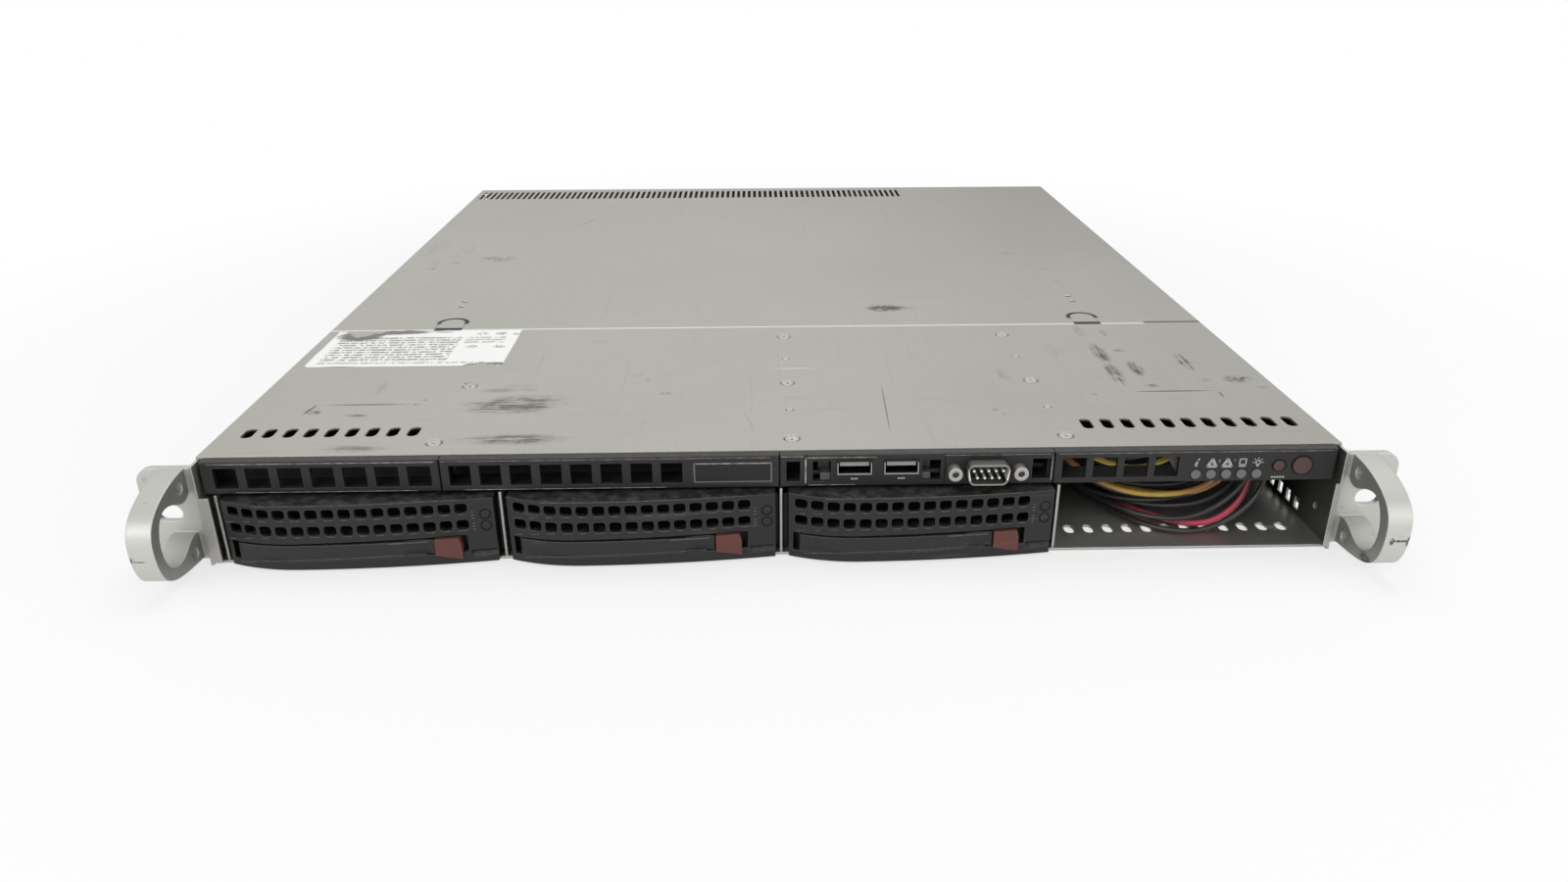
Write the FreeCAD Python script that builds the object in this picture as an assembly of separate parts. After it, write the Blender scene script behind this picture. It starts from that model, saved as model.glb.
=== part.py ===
import FreeCAD, Part
import math
import os
from FreeCAD import Vector

# A one-unit rack server: a steel tray with ears, a drive cage with three sprung
# hot-swap carriers and one empty bay, front controls, fans, board and power supply.
# Millimetres. +X is right, +Y is rearward, +Z is up; the front faces -Y.
# Pieces are laid out from the front datum (Y = 0) and the middle of the width (X = 0).

# ---------------------------------------------------------------- driving dimensions
sheet = 1.0                  # folded steel of tray, cover and cage
running_gap = 0.3            # between pieces that move past each other
side_gap = 0.4               # carrier to bay wall
seam_gap = 0.5               # top plate to cover
screw_gap = 0.2              # screw shank to its hole

# Drives, carriers and bays
drive_width = 101.6
drive_length = 147.0
drive_height = 26.1
rail_thickness = 1.9         # carrier side rail
carrier_floor = 0.6          # cross strip under the drive
drive_front_y = 14.0
bay_count = 4
carrier_count = 3
left_guide_width = 5.5       # wall to first bay
right_fold_width = 1.7       # last bay to wall
shelf_thickness = 0.8
shelf_gap = 0.6              # drive top to shelf
upper_layer_height = 12.6    # shelf to top plate

# Depth chain behind the drives
connector_length = 10.7
board_thickness = 1.6
backplane_to_fans = 31.0
fan_size = 40.0
fan_length = 28.0
fans_to_board = 26.0
board_length = 238.0
board_rear_gap = 5.0

# Front edge of each layer
tray_front_y = 4.0
wall_front_y = 2.0
top_plate_front_y = 8.6
bezel_face_y = 4.0
bezel_depth = 12.0
bezel_wall = 1.5
bezel_plate = 2.0
bezel_proud = 0.8            # bezel rim above the underside of the top plate
plate_length = 150.1         # fixed top plate, front to rear

# Ears and handles
ear_reach = 22.0             # beyond the tray wall
ear_face_y = 5.0
ear_thickness = 2.5
ear_top_z = 40.3
ear_bottom_z = 1.5
ear_corner_radius = 6.0
rack_slot_inset = 9.3        # slot centre from the ear's outer edge
rack_slot_length = 10.0
rack_slot_height = 6.8
rack_slot_z = 21.4
ear_flange_length = 34.0
ear_flange_thickness = 1.5
handle_inset = 3.5           # handle's inner side from the tray wall
handle_width = 9.0
handle_reach = 31.5          # forward of the ear's face
handle_hole_radius = 2.3

# Upper layer, left to right
optical_bezel_width = 88.8
centre_bezel_width = 127.8
io_bezel_width = 104.4
upper_left_margin = 1.7
upper_right_margin = 2.3
bezel_joint = 0.4
window_bottom = 2.2          # window sill above the bezel's lower edge
window_height = 8.4

# Carrier bezel
bezel_left = 2.4             # from the bay's left wall
bezel_right = 1.8            # from the bay's right wall
bulge_from_left = 30.0
bulge_y = -4.0
left_edge_y = 1.8
right_edge_y = 1.4
carrier_bezel_depth = 12.0
carrier_skin = 2.2
skirt_bottom_z = 0.8
air_hole_count = 15
air_hole_pitch = 6.1
air_hole_width = 4.8
air_hole_height = 4.2
air_hole_first = 7.1
air_row_z = (17.3, 24.3)
light_radius = 1.95
light_from_left = 101.2
light_z = (16.4, 21.3)
light_groove_depth = 0.9
light_groove_width = 0.45
pocket_bottom_z = (3.8, 5.6)  # lever pocket's lower edge at its left and right ends
pocket_top_z = (11.7, 13.0)
pocket_depth = 4.6
pocket_roof = 1.6            # solid bezel above the pocket
pocket_left = 4.0
pivot_from_left = 8.2
pin_radius = 1.0
pin_clearance = 0.1
lever_thickness = 3.9
lever_proud = 0.2
lever_top_z = (11.0, 11.6)
lever_right = 80.9
scoop_radius = 16.0          # finger hollow near the lever's free end
scoop_depth = 1.3
scoop_from_end = 4.0
release_left = 81.5
release_right = 91.4
release_top_z = 12.2
release_toe_z = (5.3, 3.2)   # the tab's foot hangs in front of the lip, lower at the right
release_travel = 1.8
release_proud = 1.1          # in front of the bezel's face
release_chamfer = (0.9, 3.1)
ledge_z = (3.2, 6.4)         # sloping ledge to the right of the pocket
ledge_depth = 3.0

# Front ports
usb_width = 13.1
usb_height = 5.7
usb_depth = 14.0
usb_from_left = (28.3, 46.2)
serial_from_left = 78.7
serial_width = 16.9
serial_height = 8.4
serial_proud = 5.5
jackscrew_spacing = 25.0
jackscrew_radius = 2.7
pin_pitch = 2.77
pin_row = 1.42

# Front controls
led_count = 5
led_pitch = 5.9
led_radius = 1.85
power_radius = 3.5
reset_radius = 2.0
button_gap = 0.3
button_travel = 0.8
power_from_right = 13.0
reset_from_right = 22.1
led_from_right = 54.0

# Top cover
cover_flange_height = 8.0
tab_width = 13.2
tab_length = 16.0
tab_inset = 57.6             # tab centre from the tray's outer side
rear_vent_pitch = 4.05
rear_vent_width = 2.2
rear_vent_length = 26.0
label_width = 90.0
label_length = 51.0
label_thickness = 0.12

# Inside
fan_count = 4
fan_pitch = 70.0
fan_wall = 1.3               # duct to the frame's side
blade_tip_gap = 0.5
supply_fan_size = 38.0
fan_hub_radius = 10.5
blade_count = 7
supply_width = 100.0
supply_length = 205.0
supply_wall = 0.8
supply_right_gap = 4.5
board_left_gap = 5.5
standoff_height = 5.0
dimm_count = 8

# ---------------------------------------------------------------- derived places
carrier_width = drive_width + 2 * rail_thickness
bay_width = carrier_width + 2 * side_gap
bay_pitch = bay_width + sheet
pocket_right = release_right + release_travel + 2 * running_gap
chassis_width = (bay_count * bay_pitch - sheet + left_guide_width + right_fold_width + 2 * sheet)
half_width = chassis_width / 2
wall_inner = half_width - sheet
first_bay_left = -wall_inner + left_guide_width

floor_z = sheet
carrier_bottom_z = floor_z + running_gap
drive_bottom_z = carrier_bottom_z + carrier_floor
drive_top_z = drive_bottom_z + drive_height
shelf_z = drive_top_z + shelf_gap
upper_z = shelf_z + shelf_thickness
top_under_z = upper_z + upper_layer_height
chassis_height = top_under_z + sheet
cover_seat_z = top_under_z - running_gap

drive_rear_y = drive_front_y + drive_length
backplane_y = drive_rear_y + running_gap + connector_length
fans_y = backplane_y + board_thickness + backplane_to_fans
board_y = fans_y + fan_length + fans_to_board
board_rear_y = board_y + board_length
chassis_depth = board_rear_y + board_rear_gap + sheet
rear_panel_y = chassis_depth - sheet

seam_y = top_plate_front_y + plate_length
cover_front_y = seam_y + seam_gap
bezel_bottom_z = upper_z + 0.2
bezel_top_z = top_under_z + bezel_proud
handle_front_y = ear_face_y - handle_reach
middle_y = (handle_front_y + chassis_depth) / 2

optical_left = -wall_inner + upper_left_margin
centre_left = optical_left + optical_bezel_width + bezel_joint
io_left = centre_left + centre_bezel_width + bezel_joint
control_left = io_left + io_bezel_width + bezel_joint
control_right = wall_inner - upper_right_margin
window_z = bezel_bottom_z + window_bottom

supply_right = wall_inner - supply_right_gap
supply_left = supply_right - supply_width
supply_bottom_z = floor_z + running_gap
supply_top_z = top_under_z - 0.7
board_left = -wall_inner + board_left_gap
board_right = supply_left - 20.0
board_bottom_z = floor_z + standoff_height
board_top_z = board_bottom_z + board_thickness


# ---------------------------------------------------------------- shape helpers
def box(x0, x1, y0, y1, z0, z1):
    """A box between two corners."""
    return Part.makeBox(x1 - x0, y1 - y0, z1 - z0, Vector(x0, y0, z0))


def rod(radius, start, end):
    """A round bar between two points."""
    start, end = Vector(*start), Vector(*end)
    return Part.makeCylinder(radius, start.distanceToPoint(end), start, end - start)


def cone(radius_start, radius_end, start, end):
    start, end = Vector(*start), Vector(*end)
    return Part.makeCone(radius_start, radius_end, start.distanceToPoint(end), start, end - start)


def join(shapes):
    """Welds pieces that touch into one solid."""
    return shapes[0].multiFuse(shapes[1:]).removeSplitter()


def cut(shape, tools):
    return shape.cut(Part.makeCompound(tools))


def slot_y(x, y, z0, z1, width, length):
    """An upright cutter for a round-ended slot that runs along Y."""
    radius = width / 2
    reach = length / 2 - radius
    middle = box(x - radius, x + radius, y - reach, y + reach, z0, z1)
    ends = [rod(radius, (x, y + side * reach, z0), (x, y + side * reach, z1)) for side in (-1, 1)]
    return join([middle] + ends)


def round_window(x, y0, y1, z, width, height, radius):
    """A cutter along Y for a window with rounded corners, centred at x and z."""
    block = box(x - width / 2, x + width / 2, y0, y1, z - height / 2, z + height / 2)
    edges = [e for e in block.Edges if abs(e.Vertexes[0].Y - e.Vertexes[1].Y) > 1e-6]
    return block.makeFillet(radius, edges)


def extrude_front(corners, y0, y1):
    """A prism whose outline, seen from the front, has the given x and z corners."""
    wire = Part.Wire(polygon([(x, y0, z) for x, z in corners]))
    return Part.Face(wire).extrude(Vector(0, y1 - y0, 0))


def extrude_plan(points_and_arcs, z0, z1):
    """Closes a plan outline and raises it from z0 to z1."""
    wire = Part.Wire(Part.__sortEdges__(points_and_arcs))
    return Part.Face(wire).translated(Vector(0, 0, z0)).extrude(Vector(0, 0, z1 - z0))


def line(a, b):
    return Part.makeLine(Vector(*a), Vector(*b))


def polygon(points):
    return [line(points[i], points[(i + 1) % len(points)]) for i in range(len(points))]


def mirrored(shape):
    """The same piece on the other side of the server."""
    return shape.mirror(Vector(0, 0, 0), Vector(1, 0, 0))


def save(name, solids):
    """Writes one node, moved so that the server's box is centred front to rear."""
    shape = Part.makeCompound(solids) if len(solids) > 1 else solids[0]
    shape = shape.translated(Vector(0, -middle_y, 0))
    shape.exportStep("parts/" + name + ".step")
    print(name, len(shape.Solids), "solids, valid", shape.isValid())


def bay_left_x(bay):
    return first_bay_left + bay * bay_pitch


# ---------------------------------------------------------------- tray and cage
floor_slot_pitch = 7.92
floor_slot_count = 12
floor_slot_first = 9.9
floor_slot_y = 19.5
side_slot_count = 5
side_slot_pitch = 7.7
fold_thickness = 1.0
port_clearance = 0.3


def floor_slots():
    cutters = []
    for bay in range(bay_count):
        for i in range(floor_slot_count):
            x = bay_left_x(bay) + floor_slot_first + i * floor_slot_pitch
            cutters.append(slot_y(x, floor_slot_y, -1, floor_z + 1, 4.0, 6.5))
    return cutters


def side_slots():
    """Oblong vents low in both side walls, beside the drives."""
    cutters = []
    for side in (-1, 1):
        for i in range(side_slot_count):
            y = 30.8 + i * side_slot_pitch
            x0, x1 = sorted((side * (wall_inner - 1), side * (half_width + 1)))
            cutters.append(box(x0, x1, y - 1.9, y + 1.9, 3.2, 8.2))
    return cutters


rear_ports = [               # width, height, offset from the board's left edge, depth
    ("usb_pair", 13.6, 15.0, 45.0, 17.5),
    ("serial", 31.0, 12.5, 75.0, 13.0),
    ("video", 31.0, 12.5, 112.0, 13.0),
    ("network", 16.0, 13.5, 142.0, 21.5),
    ("network", 16.0, 13.5, 162.0, 21.5),
    ("management", 16.0, 13.5, 186.0, 21.5),
]
rear_hole_offset = 215.0     # first air hole, from the board's left edge
rear_hole_pitch = 6.0
rear_hole_rise = 5.6
rear_hole_z = 9.0
rear_hole_radius = 2.0
slot_cover_right_gap = 8.0
slot_cover_width = 84.0
slot_cover_height = 14.0
slot_cover_z = 26.0


def rear_panel():
    """Upright sheet across the back, with cut-outs for the ports, slot and supply."""
    panel = box(-wall_inner, wall_inner, rear_panel_y, chassis_depth, floor_z, cover_seat_z)
    tools = [box(supply_left - running_gap, supply_right + running_gap, rear_panel_y - 1,
                 chassis_depth + 1, floor_z, cover_seat_z + 1)]
    for name, width, height, offset, depth in rear_ports:
        x = board_left + offset
        tools.append(box(x - width / 2 - port_clearance, x + width / 2 + port_clearance,
                         rear_panel_y - 1, chassis_depth + 1,
                         board_top_z - port_clearance, board_top_z + height + port_clearance))
    tools.append(box(board_right - slot_cover_right_gap - slot_cover_width,
                     board_right - slot_cover_right_gap, rear_panel_y - 1, chassis_depth + 1,
                     slot_cover_z, slot_cover_z + slot_cover_height))
    flange_room = sheet + 2 * running_gap
    for side in (-1, 1):
        x0, x1 = sorted((side * wall_inner, side * (wall_inner - flange_room)))
        tools.append(box(x0, x1, rear_panel_y - 1, chassis_depth + 1,
                         top_under_z - cover_flange_height - running_gap, cover_seat_z + 1))
    for row in range(3):
        for column in range(10):
            x = board_left + rear_hole_offset + column * rear_hole_pitch
            z = rear_hole_z + row * rear_hole_rise
            tools.append(rod(rear_hole_radius, (x, rear_panel_y - 1, z), (x, chassis_depth + 1, z)))
    return cut(panel, tools)


def chassis_tray():
    """Floor, side walls and front folds of one folded sheet."""
    solids = [box(-half_width, half_width, tray_front_y, chassis_depth, 0, floor_z)]
    for side in (-1, 1):
        x0, x1 = sorted((side * wall_inner, side * half_width))
        solids.append(box(x0, x1, wall_front_y, seam_y, 0, top_under_z))
        solids.append(box(x0, x1, seam_y, chassis_depth, 0, cover_seat_z))
    left_fold = left_guide_width - 2.1
    solids.append(box(-wall_inner, -wall_inner + left_fold, wall_front_y,
                      wall_front_y + fold_thickness, floor_z, shelf_z))
    solids.append(box(wall_inner - right_fold_width + 0.2, wall_inner, wall_front_y,
                      wall_front_y + fold_thickness, floor_z, shelf_z))
    return cut(join(solids), floor_slots() + side_slots() + ear_screw_holes())


cage_screw_flange = 8.6
cage_web_y0 = 17.0
cage_front_y = 4.5


def drive_cage():
    """Bay dividers, the shelf over them and the webs that carry the top plate."""
    solids = [box(-wall_inner, bay_left_x(bay_count - 1), bezel_face_y + bezel_depth, seam_y - 8,
                  shelf_z, upper_z)]
    for bay in range(1, bay_count):
        x = bay_left_x(bay) - sheet
        solids.append(box(x, x + sheet, cage_front_y, backplane_y, floor_z, shelf_z))
    guide = first_bay_left - sheet
    solids.append(box(guide, guide + sheet, cage_front_y, backplane_y, floor_z, shelf_z))
    for x, side in cage_webs():
        solids.append(box(x, x + sheet, cage_web_y0, seam_y - 8, shelf_z, top_under_z))
        x0, x1 = sorted((x + sheet / 2, x + sheet / 2 + side * cage_screw_flange))
        solids.append(box(x0, x1, cage_web_y0, seam_y - 8, top_under_z - sheet, top_under_z))
    cage = join(solids)
    tools = [rod(small_screw_shank + screw_gap, (x, y, top_under_z - 3), (x, y, top_under_z + 1))
             for x, y, size in top_screws()]
    for bay in range(1, bay_count):
        x = bay_left_x(bay) - sheet
        for y in (45.0, 95.0, 145.0):
            tools.append(rod(7.0, (x - 1, y, 15), (x + sheet + 1, y, 15)))
    return cut(cage, tools)


def cage_webs():
    """Left edge of each upright web above the shelf, and the side its flange turns to."""
    return [(centre_left - sheet, -1), (io_left - sheet / 2, 1), (bay_left_x(3) - sheet, 1)]


small_screw_shank = 1.4
screw_column_y = (19.5, 49.0, 80.0, 111.0, 142.5)


def top_screws():
    """Centre and kind of each screw in the fixed top plate."""
    places = []
    for web, (x, side) in enumerate(cage_webs()):
        column_x = x + sheet / 2 + side * 5.0
        for i, y in enumerate(screw_column_y):
            if web == 0 and i not in (0, 2):
                continue
            places.append((column_x, y, "ring" if i % 2 == 0 else "small"))
    return places


vent_from_side = 11.0        # first vent from the tray's outer side
vent_width = 4.6
vent_y = 30.7


def front_top_plate():
    """Fixed front part of the lid, with two rows of vents and countersunk screws."""
    plate = box(-half_width, half_width, top_plate_front_y, seam_y, top_under_z, chassis_height)
    solids = [plate]
    for side in (-1, 1):
        outer_x = wall_inner - running_gap
        x0, x1 = sorted((side * outer_x, side * (outer_x - sheet)))
        solids.append(box(x0, x1, bezel_face_y + bezel_depth + 1, seam_y - 2, top_under_z - 6, top_under_z))
    tools = []
    for i in range(9):
        x = -half_width + vent_from_side + i * 8.08
        tools.append(slot_y(x, vent_y, top_under_z - 1, chassis_height + 1, vent_width, 9.4))
    for i in range(11):
        x = half_width - vent_from_side - i * 8.22
        tools.append(slot_y(x, vent_y, top_under_z - 1, chassis_height + 1, vent_width, 10.4))
    for x, y, kind in top_screws():
        wide = 3.6 if kind == "ring" else 2.0
        tools.append(cone(wide - 0.8, wide, (x, y, top_under_z), (x, y, chassis_height)))
    return cut(join(solids), tools)


def plate_screws():
    solids = []
    for x, y, kind in top_screws():
        head = 2.6 if kind == "ring" else 1.15
        low = top_under_z + 0.15
        parts = [rod(head, (x, y, low), (x, y, chassis_height - 0.15)),
                 rod(small_screw_shank if kind == "ring" else 1.0, (x, y, low - 3.5), (x, y, low + 0.2))]
        screw = join(parts)
        if kind == "ring":
            bars = [box(x - 1.5, x + 1.5, y - 0.3, y + 0.3, chassis_height - 0.5, chassis_height),
                    box(x - 0.3, x + 0.3, y - 1.5, y + 1.5, chassis_height - 0.5, chassis_height)]
            screw = cut(screw, bars)
        solids.append(screw)
    return solids


def label_sheet():
    x = -half_width + 5.0
    y = seam_y - 2.0 - label_length
    return box(x, x + label_width, y, y + label_length, chassis_height, chassis_height + label_thickness)


# ---------------------------------------------------------------- ears
def ear_screw_places():
    return [(16.0, 12.0), (16.0, 31.0), (33.0, 21.5)]      # distance behind the face, height


def ear_screw_holes():
    tools = []
    for side in (-1, 1):
        for y, z in ear_screw_places():
            tools.append(rod(small_screw_shank + screw_gap, (side * (wall_inner - 2), y, z),
                             (side * (half_width + 1), y, z)))
    return tools


def handle_outline(x):
    """Loop handle seen from the side: a band that starts and ends in bosses on the ear."""
    face = ear_face_y
    front = handle_front_y
    outer = [(face, 40.0), (face - 19, 36.9), (front + 1.2, 28.5), (front, 19.0),
             (front + 4.0, 8.3), (face - 17, 3.8), (face, 2.0)]
    inner = [(face, 13.2), (face - 8, 12.0), (face - 14.5, 8.8), (face - 22.5, 10.4),
             (front + 5.2, 18.5), (front + 6.0, 25.5), (face - 21, 31.6), (face - 13, 31.3),
             (face - 5.5, 28.4), (face, 30.5)]
    edges = []
    for points in (outer, inner):
        curve = Part.BSplineCurve()
        curve.interpolate([Vector(x, y, z) for y, z in points])
        edges.append(curve.toShape())
    edges.append(line((x, face, 2.0), (x, face, 13.2)))
    edges.append(line((x, face, 30.5), (x, face, 40.0)))
    return Part.Wire(Part.__sortEdges__(edges))


def right_ear():
    """Rack ear with its slot, side flange and loop handle."""
    outer_x = half_width + ear_reach
    plate = box(half_width, outer_x, ear_face_y, ear_face_y + ear_thickness, ear_bottom_z, ear_top_z)
    corners = [e for e in plate.Edges
               if abs(e.Vertexes[0].X - outer_x) < 1e-6 and abs(e.Vertexes[1].X - outer_x) < 1e-6
               and abs(e.Vertexes[0].Z - e.Vertexes[1].Z) < 1e-6]
    plate = plate.makeFillet(ear_corner_radius, corners)
    flange = box(half_width, half_width + ear_flange_thickness, ear_face_y,
                 ear_face_y + ear_flange_length, ear_bottom_z + 4, ear_top_z - 3)
    x = half_width + handle_inset
    handle = Part.Face(handle_outline(x)).extrude(Vector(handle_width, 0, 0))
    slot_x = outer_x - rack_slot_inset
    reach = rack_slot_length / 2 - rack_slot_height / 2
    y0, y1 = ear_face_y - 1, ear_face_y + ear_thickness + 1
    slot = join([box(slot_x - reach, slot_x + reach, y0, y1,
                     rack_slot_z - rack_slot_height / 2, rack_slot_z + rack_slot_height / 2),
                 rod(rack_slot_height / 2, (slot_x - reach, y0, rack_slot_z),
                     (slot_x - reach, y1, rack_slot_z)),
                 rod(rack_slot_height / 2, (slot_x + reach, y0, rack_slot_z),
                     (slot_x + reach, y1, rack_slot_z))])
    tools = [slot]
    for y, z in ((ear_face_y - 6.0, 34.6), (ear_face_y - 5.6, 6.6)):
        tools.append(rod(handle_hole_radius, (x - 1, y, z), (x + handle_width + 1, y, z)))
    for y, z in ear_screw_places():
        tools.append(cone(1.6, 3.2, (half_width, y, z), (half_width + ear_flange_thickness, y, z)))
    return cut(join([plate, flange, handle]), tools)


def ear_screws():
    solids = []
    for y, z in ear_screw_places():
        start = half_width - sheet - 1.5
        shank = rod(small_screw_shank, (start, y, z), (half_width + 0.4, y, z))
        head = cone(1.2, 2.8, (half_width + 0.1, y, z), (half_width + ear_flange_thickness - 0.1, y, z))
        solids.append(join([shank, head]))
    return solids + [mirrored(s) for s in solids]


# ---------------------------------------------------------------- front bezels
def bezel_frame(x0, x1):
    """Hollow moulding that fills one stretch of the upper layer."""
    front = box(x0, x1, bezel_face_y, top_plate_front_y - running_gap, bezel_bottom_z, bezel_top_z)
    edges = [e for e in front.Edges if max(v.Y for v in e.Vertexes) < bezel_face_y + 1e-6]
    front = front.makeFillet(0.5, edges)
    body = box(x0, x1, top_plate_front_y - running_gap, bezel_face_y + bezel_depth,
               bezel_bottom_z, top_under_z)
    cavity = box(x0 + bezel_wall, x1 - bezel_wall, bezel_face_y + bezel_plate,
                 bezel_face_y + bezel_depth + 1, bezel_bottom_z + bezel_wall, top_under_z - bezel_wall)
    return cut(join([front, body]), [cavity])


def windows(x_first, pitch, width, count):
    """Square air windows through a bezel's front plate."""
    tools = []
    for i in range(count):
        x = x_first + i * pitch
        tools.append(box(x, x + width, bezel_face_y - 1, bezel_face_y + bezel_plate + 1,
                         window_z, window_z + window_height))
    return tools


def optical_bay_blank():
    """Moulding in front of the unused optical bay, closed behind its windows."""
    x0, x1 = optical_left, optical_left + optical_bezel_width
    frame = cut(bezel_frame(x0, x1), windows(x0 + 4.5, 12.06, 8.9, 7))
    rear = bezel_face_y + bezel_depth
    back_wall = box(x0 + bezel_wall, x1 - bezel_wall, rear - blank_wall, rear,
                    bezel_bottom_z + bezel_wall, top_under_z - bezel_wall)
    return join([frame, back_wall])


blank_wall = 1.2


badge_from_left = 95.1
badge_width = 30.3


def centre_grille():
    frame = bezel_frame(centre_left, centre_left + centre_bezel_width)
    recess = box(centre_left + badge_from_left, centre_left + badge_from_left + badge_width,
                 bezel_face_y - 1, bezel_face_y + 0.9, window_z - 0.2, window_z + window_height)
    return cut(frame, windows(centre_left + 3.2, 11.39, 8.2, 8) + [recess])


def badge_plate():
    """Plain badge that lies in the recess of the centre grille."""
    x = centre_left + badge_from_left + 0.2
    return box(x, x + badge_width - 0.4, bezel_face_y + 0.1, bezel_face_y + 0.9,
               window_z, window_z + window_height - 0.2)


port_shell = 0.35
port_z = bezel_bottom_z + 7.8
serial_z = bezel_bottom_z + 6.3
io_board_top_z = port_z - usb_height / 2


def io_bezel():
    x = io_left
    tools = windows(x + 2.4, 1.0, 5.2, 1) + windows(x + 12.4, 1.0, 6.9, 1)
    tools += windows(x + 54.1, 1.0, 7.1, 1) + windows(x + 96.3, 1.0, 7.0, 1)
    for offset in usb_from_left:
        tools.append(box(x + offset - usb_width / 2 - 0.2, x + offset + usb_width / 2 + 0.2,
                         bezel_face_y - 1, bezel_face_y + bezel_plate + 1,
                         port_z - usb_height / 2 - 0.2, port_z + usb_height / 2 + 0.2))
    tools.append(serial_outline(0.3, bezel_face_y - 1, bezel_face_y + bezel_plate + 1))
    for side in (-1, 1):
        jack_x = x + serial_from_left + side * jackscrew_spacing / 2
        tools.append(rod(jackscrew_radius + 0.2, (jack_x, bezel_face_y - 1, serial_z),
                         (jack_x, bezel_face_y + bezel_plate + 1, serial_z)))
    for groove in (10.0, 62.6):
        tools.append(box(x + groove, x + groove + 0.4, bezel_face_y - 1, bezel_face_y + 0.6,
                         bezel_bottom_z - 1, bezel_top_z + 1))
    return cut(bezel_frame(x, x + io_bezel_width), tools)


def serial_outline(grow, y0, y1):
    """D-shaped prism of the nine-pin port, wide side up, grown outwards all round."""
    x = io_left + serial_from_left
    half, slope = serial_width / 2 + grow, 1.4
    top, low = serial_z + serial_height / 2 + grow, serial_z - serial_height / 2 - grow
    corners = [(x - half, y0, top), (x + half, y0, top),
               (x + half - slope, y0, low), (x - half + slope, y0, low)]
    prism = Part.Face(Part.Wire(polygon(corners))).extrude(Vector(0, y1 - y0, 0))
    edges = [e for e in prism.Edges if abs(e.Vertexes[0].Y - e.Vertexes[1].Y) > 1e-6]
    return prism.makeFillet(2.4 + grow, edges)


def usb_sockets():
    """Two sheet-metal shells, each with a plastic tongue inside."""
    solids = []
    front = bezel_face_y - 0.5
    for offset in usb_from_left:
        x = io_left + offset
        shell = box(x - usb_width / 2, x + usb_width / 2, front, front + usb_depth,
                    port_z - usb_height / 2, port_z + usb_height / 2)
        inside = box(x - usb_width / 2 + port_shell, x + usb_width / 2 - port_shell,
                     front - 1, front + usb_depth - 1,
                     port_z - usb_height / 2 + port_shell, port_z + usb_height / 2 - port_shell)
        tongue = box(x - 5.6, x + 5.6, front + 1.2, front + usb_depth - 1, port_z + 0.3, port_z + 2.1)
        solids += [shell.cut(inside), tongue]
    return solids


def serial_port():
    """Nine-pin plug: flange and D shell, insulating body, and the pins."""
    x = io_left + serial_from_left
    face = bezel_face_y + bezel_plate
    front = bezel_face_y - serial_proud
    flange = box(x - 15.4, x + 15.4, face, face + 0.8, serial_z - 4.6, serial_z + 4.6)
    shell = join([serial_outline(0, front, face + 0.4), flange])
    shell = cut(shell, [serial_outline(-0.6, front - 1, face + 2)])
    for side in (-1, 1):
        jack_x = x + side * jackscrew_spacing / 2
        shell = cut(shell, [rod(1.5, (jack_x, face - 1, serial_z), (jack_x, face + 2, serial_z))])
    body = join([serial_outline(-0.6, bezel_face_y - 0.5, face + 0.8),
                 box(x - 11, x + 11, face + 0.8, face + 5.7, serial_z - 4.2, serial_z + 4.2)])
    pins = []
    for row, count in ((1, 5), (-1, 4)):
        for i in range(count):
            pin_x = x + (i - (count - 1) / 2) * pin_pitch
            pin_z = serial_z + row * pin_row
            pins.append(rod(0.5, (pin_x, front + 0.8, pin_z), (pin_x, bezel_face_y - 0.5, pin_z)))
    return [shell, body] + pins


def jackscrews():
    solids = []
    for side in (-1, 1):
        x = io_left + serial_from_left + side * jackscrew_spacing / 2
        post = rod(jackscrew_radius, (x, bezel_face_y - 4.8, serial_z),
                   (x, bezel_face_y + bezel_plate, serial_z))
        bore = rod(1.3, (x, bezel_face_y - 6, serial_z), (x, bezel_face_y - 0.8, serial_z))
        solids.append(post.cut(bore))
    return solids


def io_board():
    low = io_board_top_z - board_thickness
    x = io_left
    wide = box(x + 12, x + 64, bezel_face_y + 4, bezel_face_y + 70, low, io_board_top_z)
    narrow = box(x + 64, x + 102.6, bezel_face_y + bezel_plate + 6, bezel_face_y + 70,
                 low, io_board_top_z)
    chip = box(x + 55, x + 67, bezel_face_y + 30, bezel_face_y + 42,
               io_board_top_z, io_board_top_z + 1.4)
    return [join([wide, narrow]), chip]


power_x = control_right - power_from_right
reset_x = control_right - reset_from_right
led_x = control_right - led_from_right
button_z = bezel_bottom_z + 6.3
led_z = bezel_bottom_z + 3.2
control_board_y = bezel_face_y + 9.0


def control_bezel():
    """Right-hand moulding: four windows, five light holes and two button bores."""
    face, behind = bezel_face_y - 1, bezel_face_y + bezel_plate + 1
    tools = windows(control_left + 3.0, 11.9, 9.3, 4)
    for i in range(led_count):
        x = led_x + i * led_pitch
        tools.append(rod(led_radius + 0.2, (x, face, led_z),
                         (x, bezel_face_y + bezel_depth + 1, led_z)))
    for x, radius in ((power_x, power_radius), (reset_x, reset_radius)):
        tools.append(rod(radius + button_gap, (x, face, button_z), (x, behind, button_z)))
        tools.append(rod(radius + 1.2, (x, face, button_z), (x, bezel_face_y + 0.5, button_z)))
    frame = cut(bezel_frame(control_left, control_right), tools)
    peg_z = top_under_z - bezel_wall - 1.5
    pegs = [rod(1.2, (x, bezel_face_y + 1, peg_z), (x, control_board_y, peg_z))
            for x in (led_x - 3.0, control_right - 3.4)]
    return join([frame] + pegs)


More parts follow.
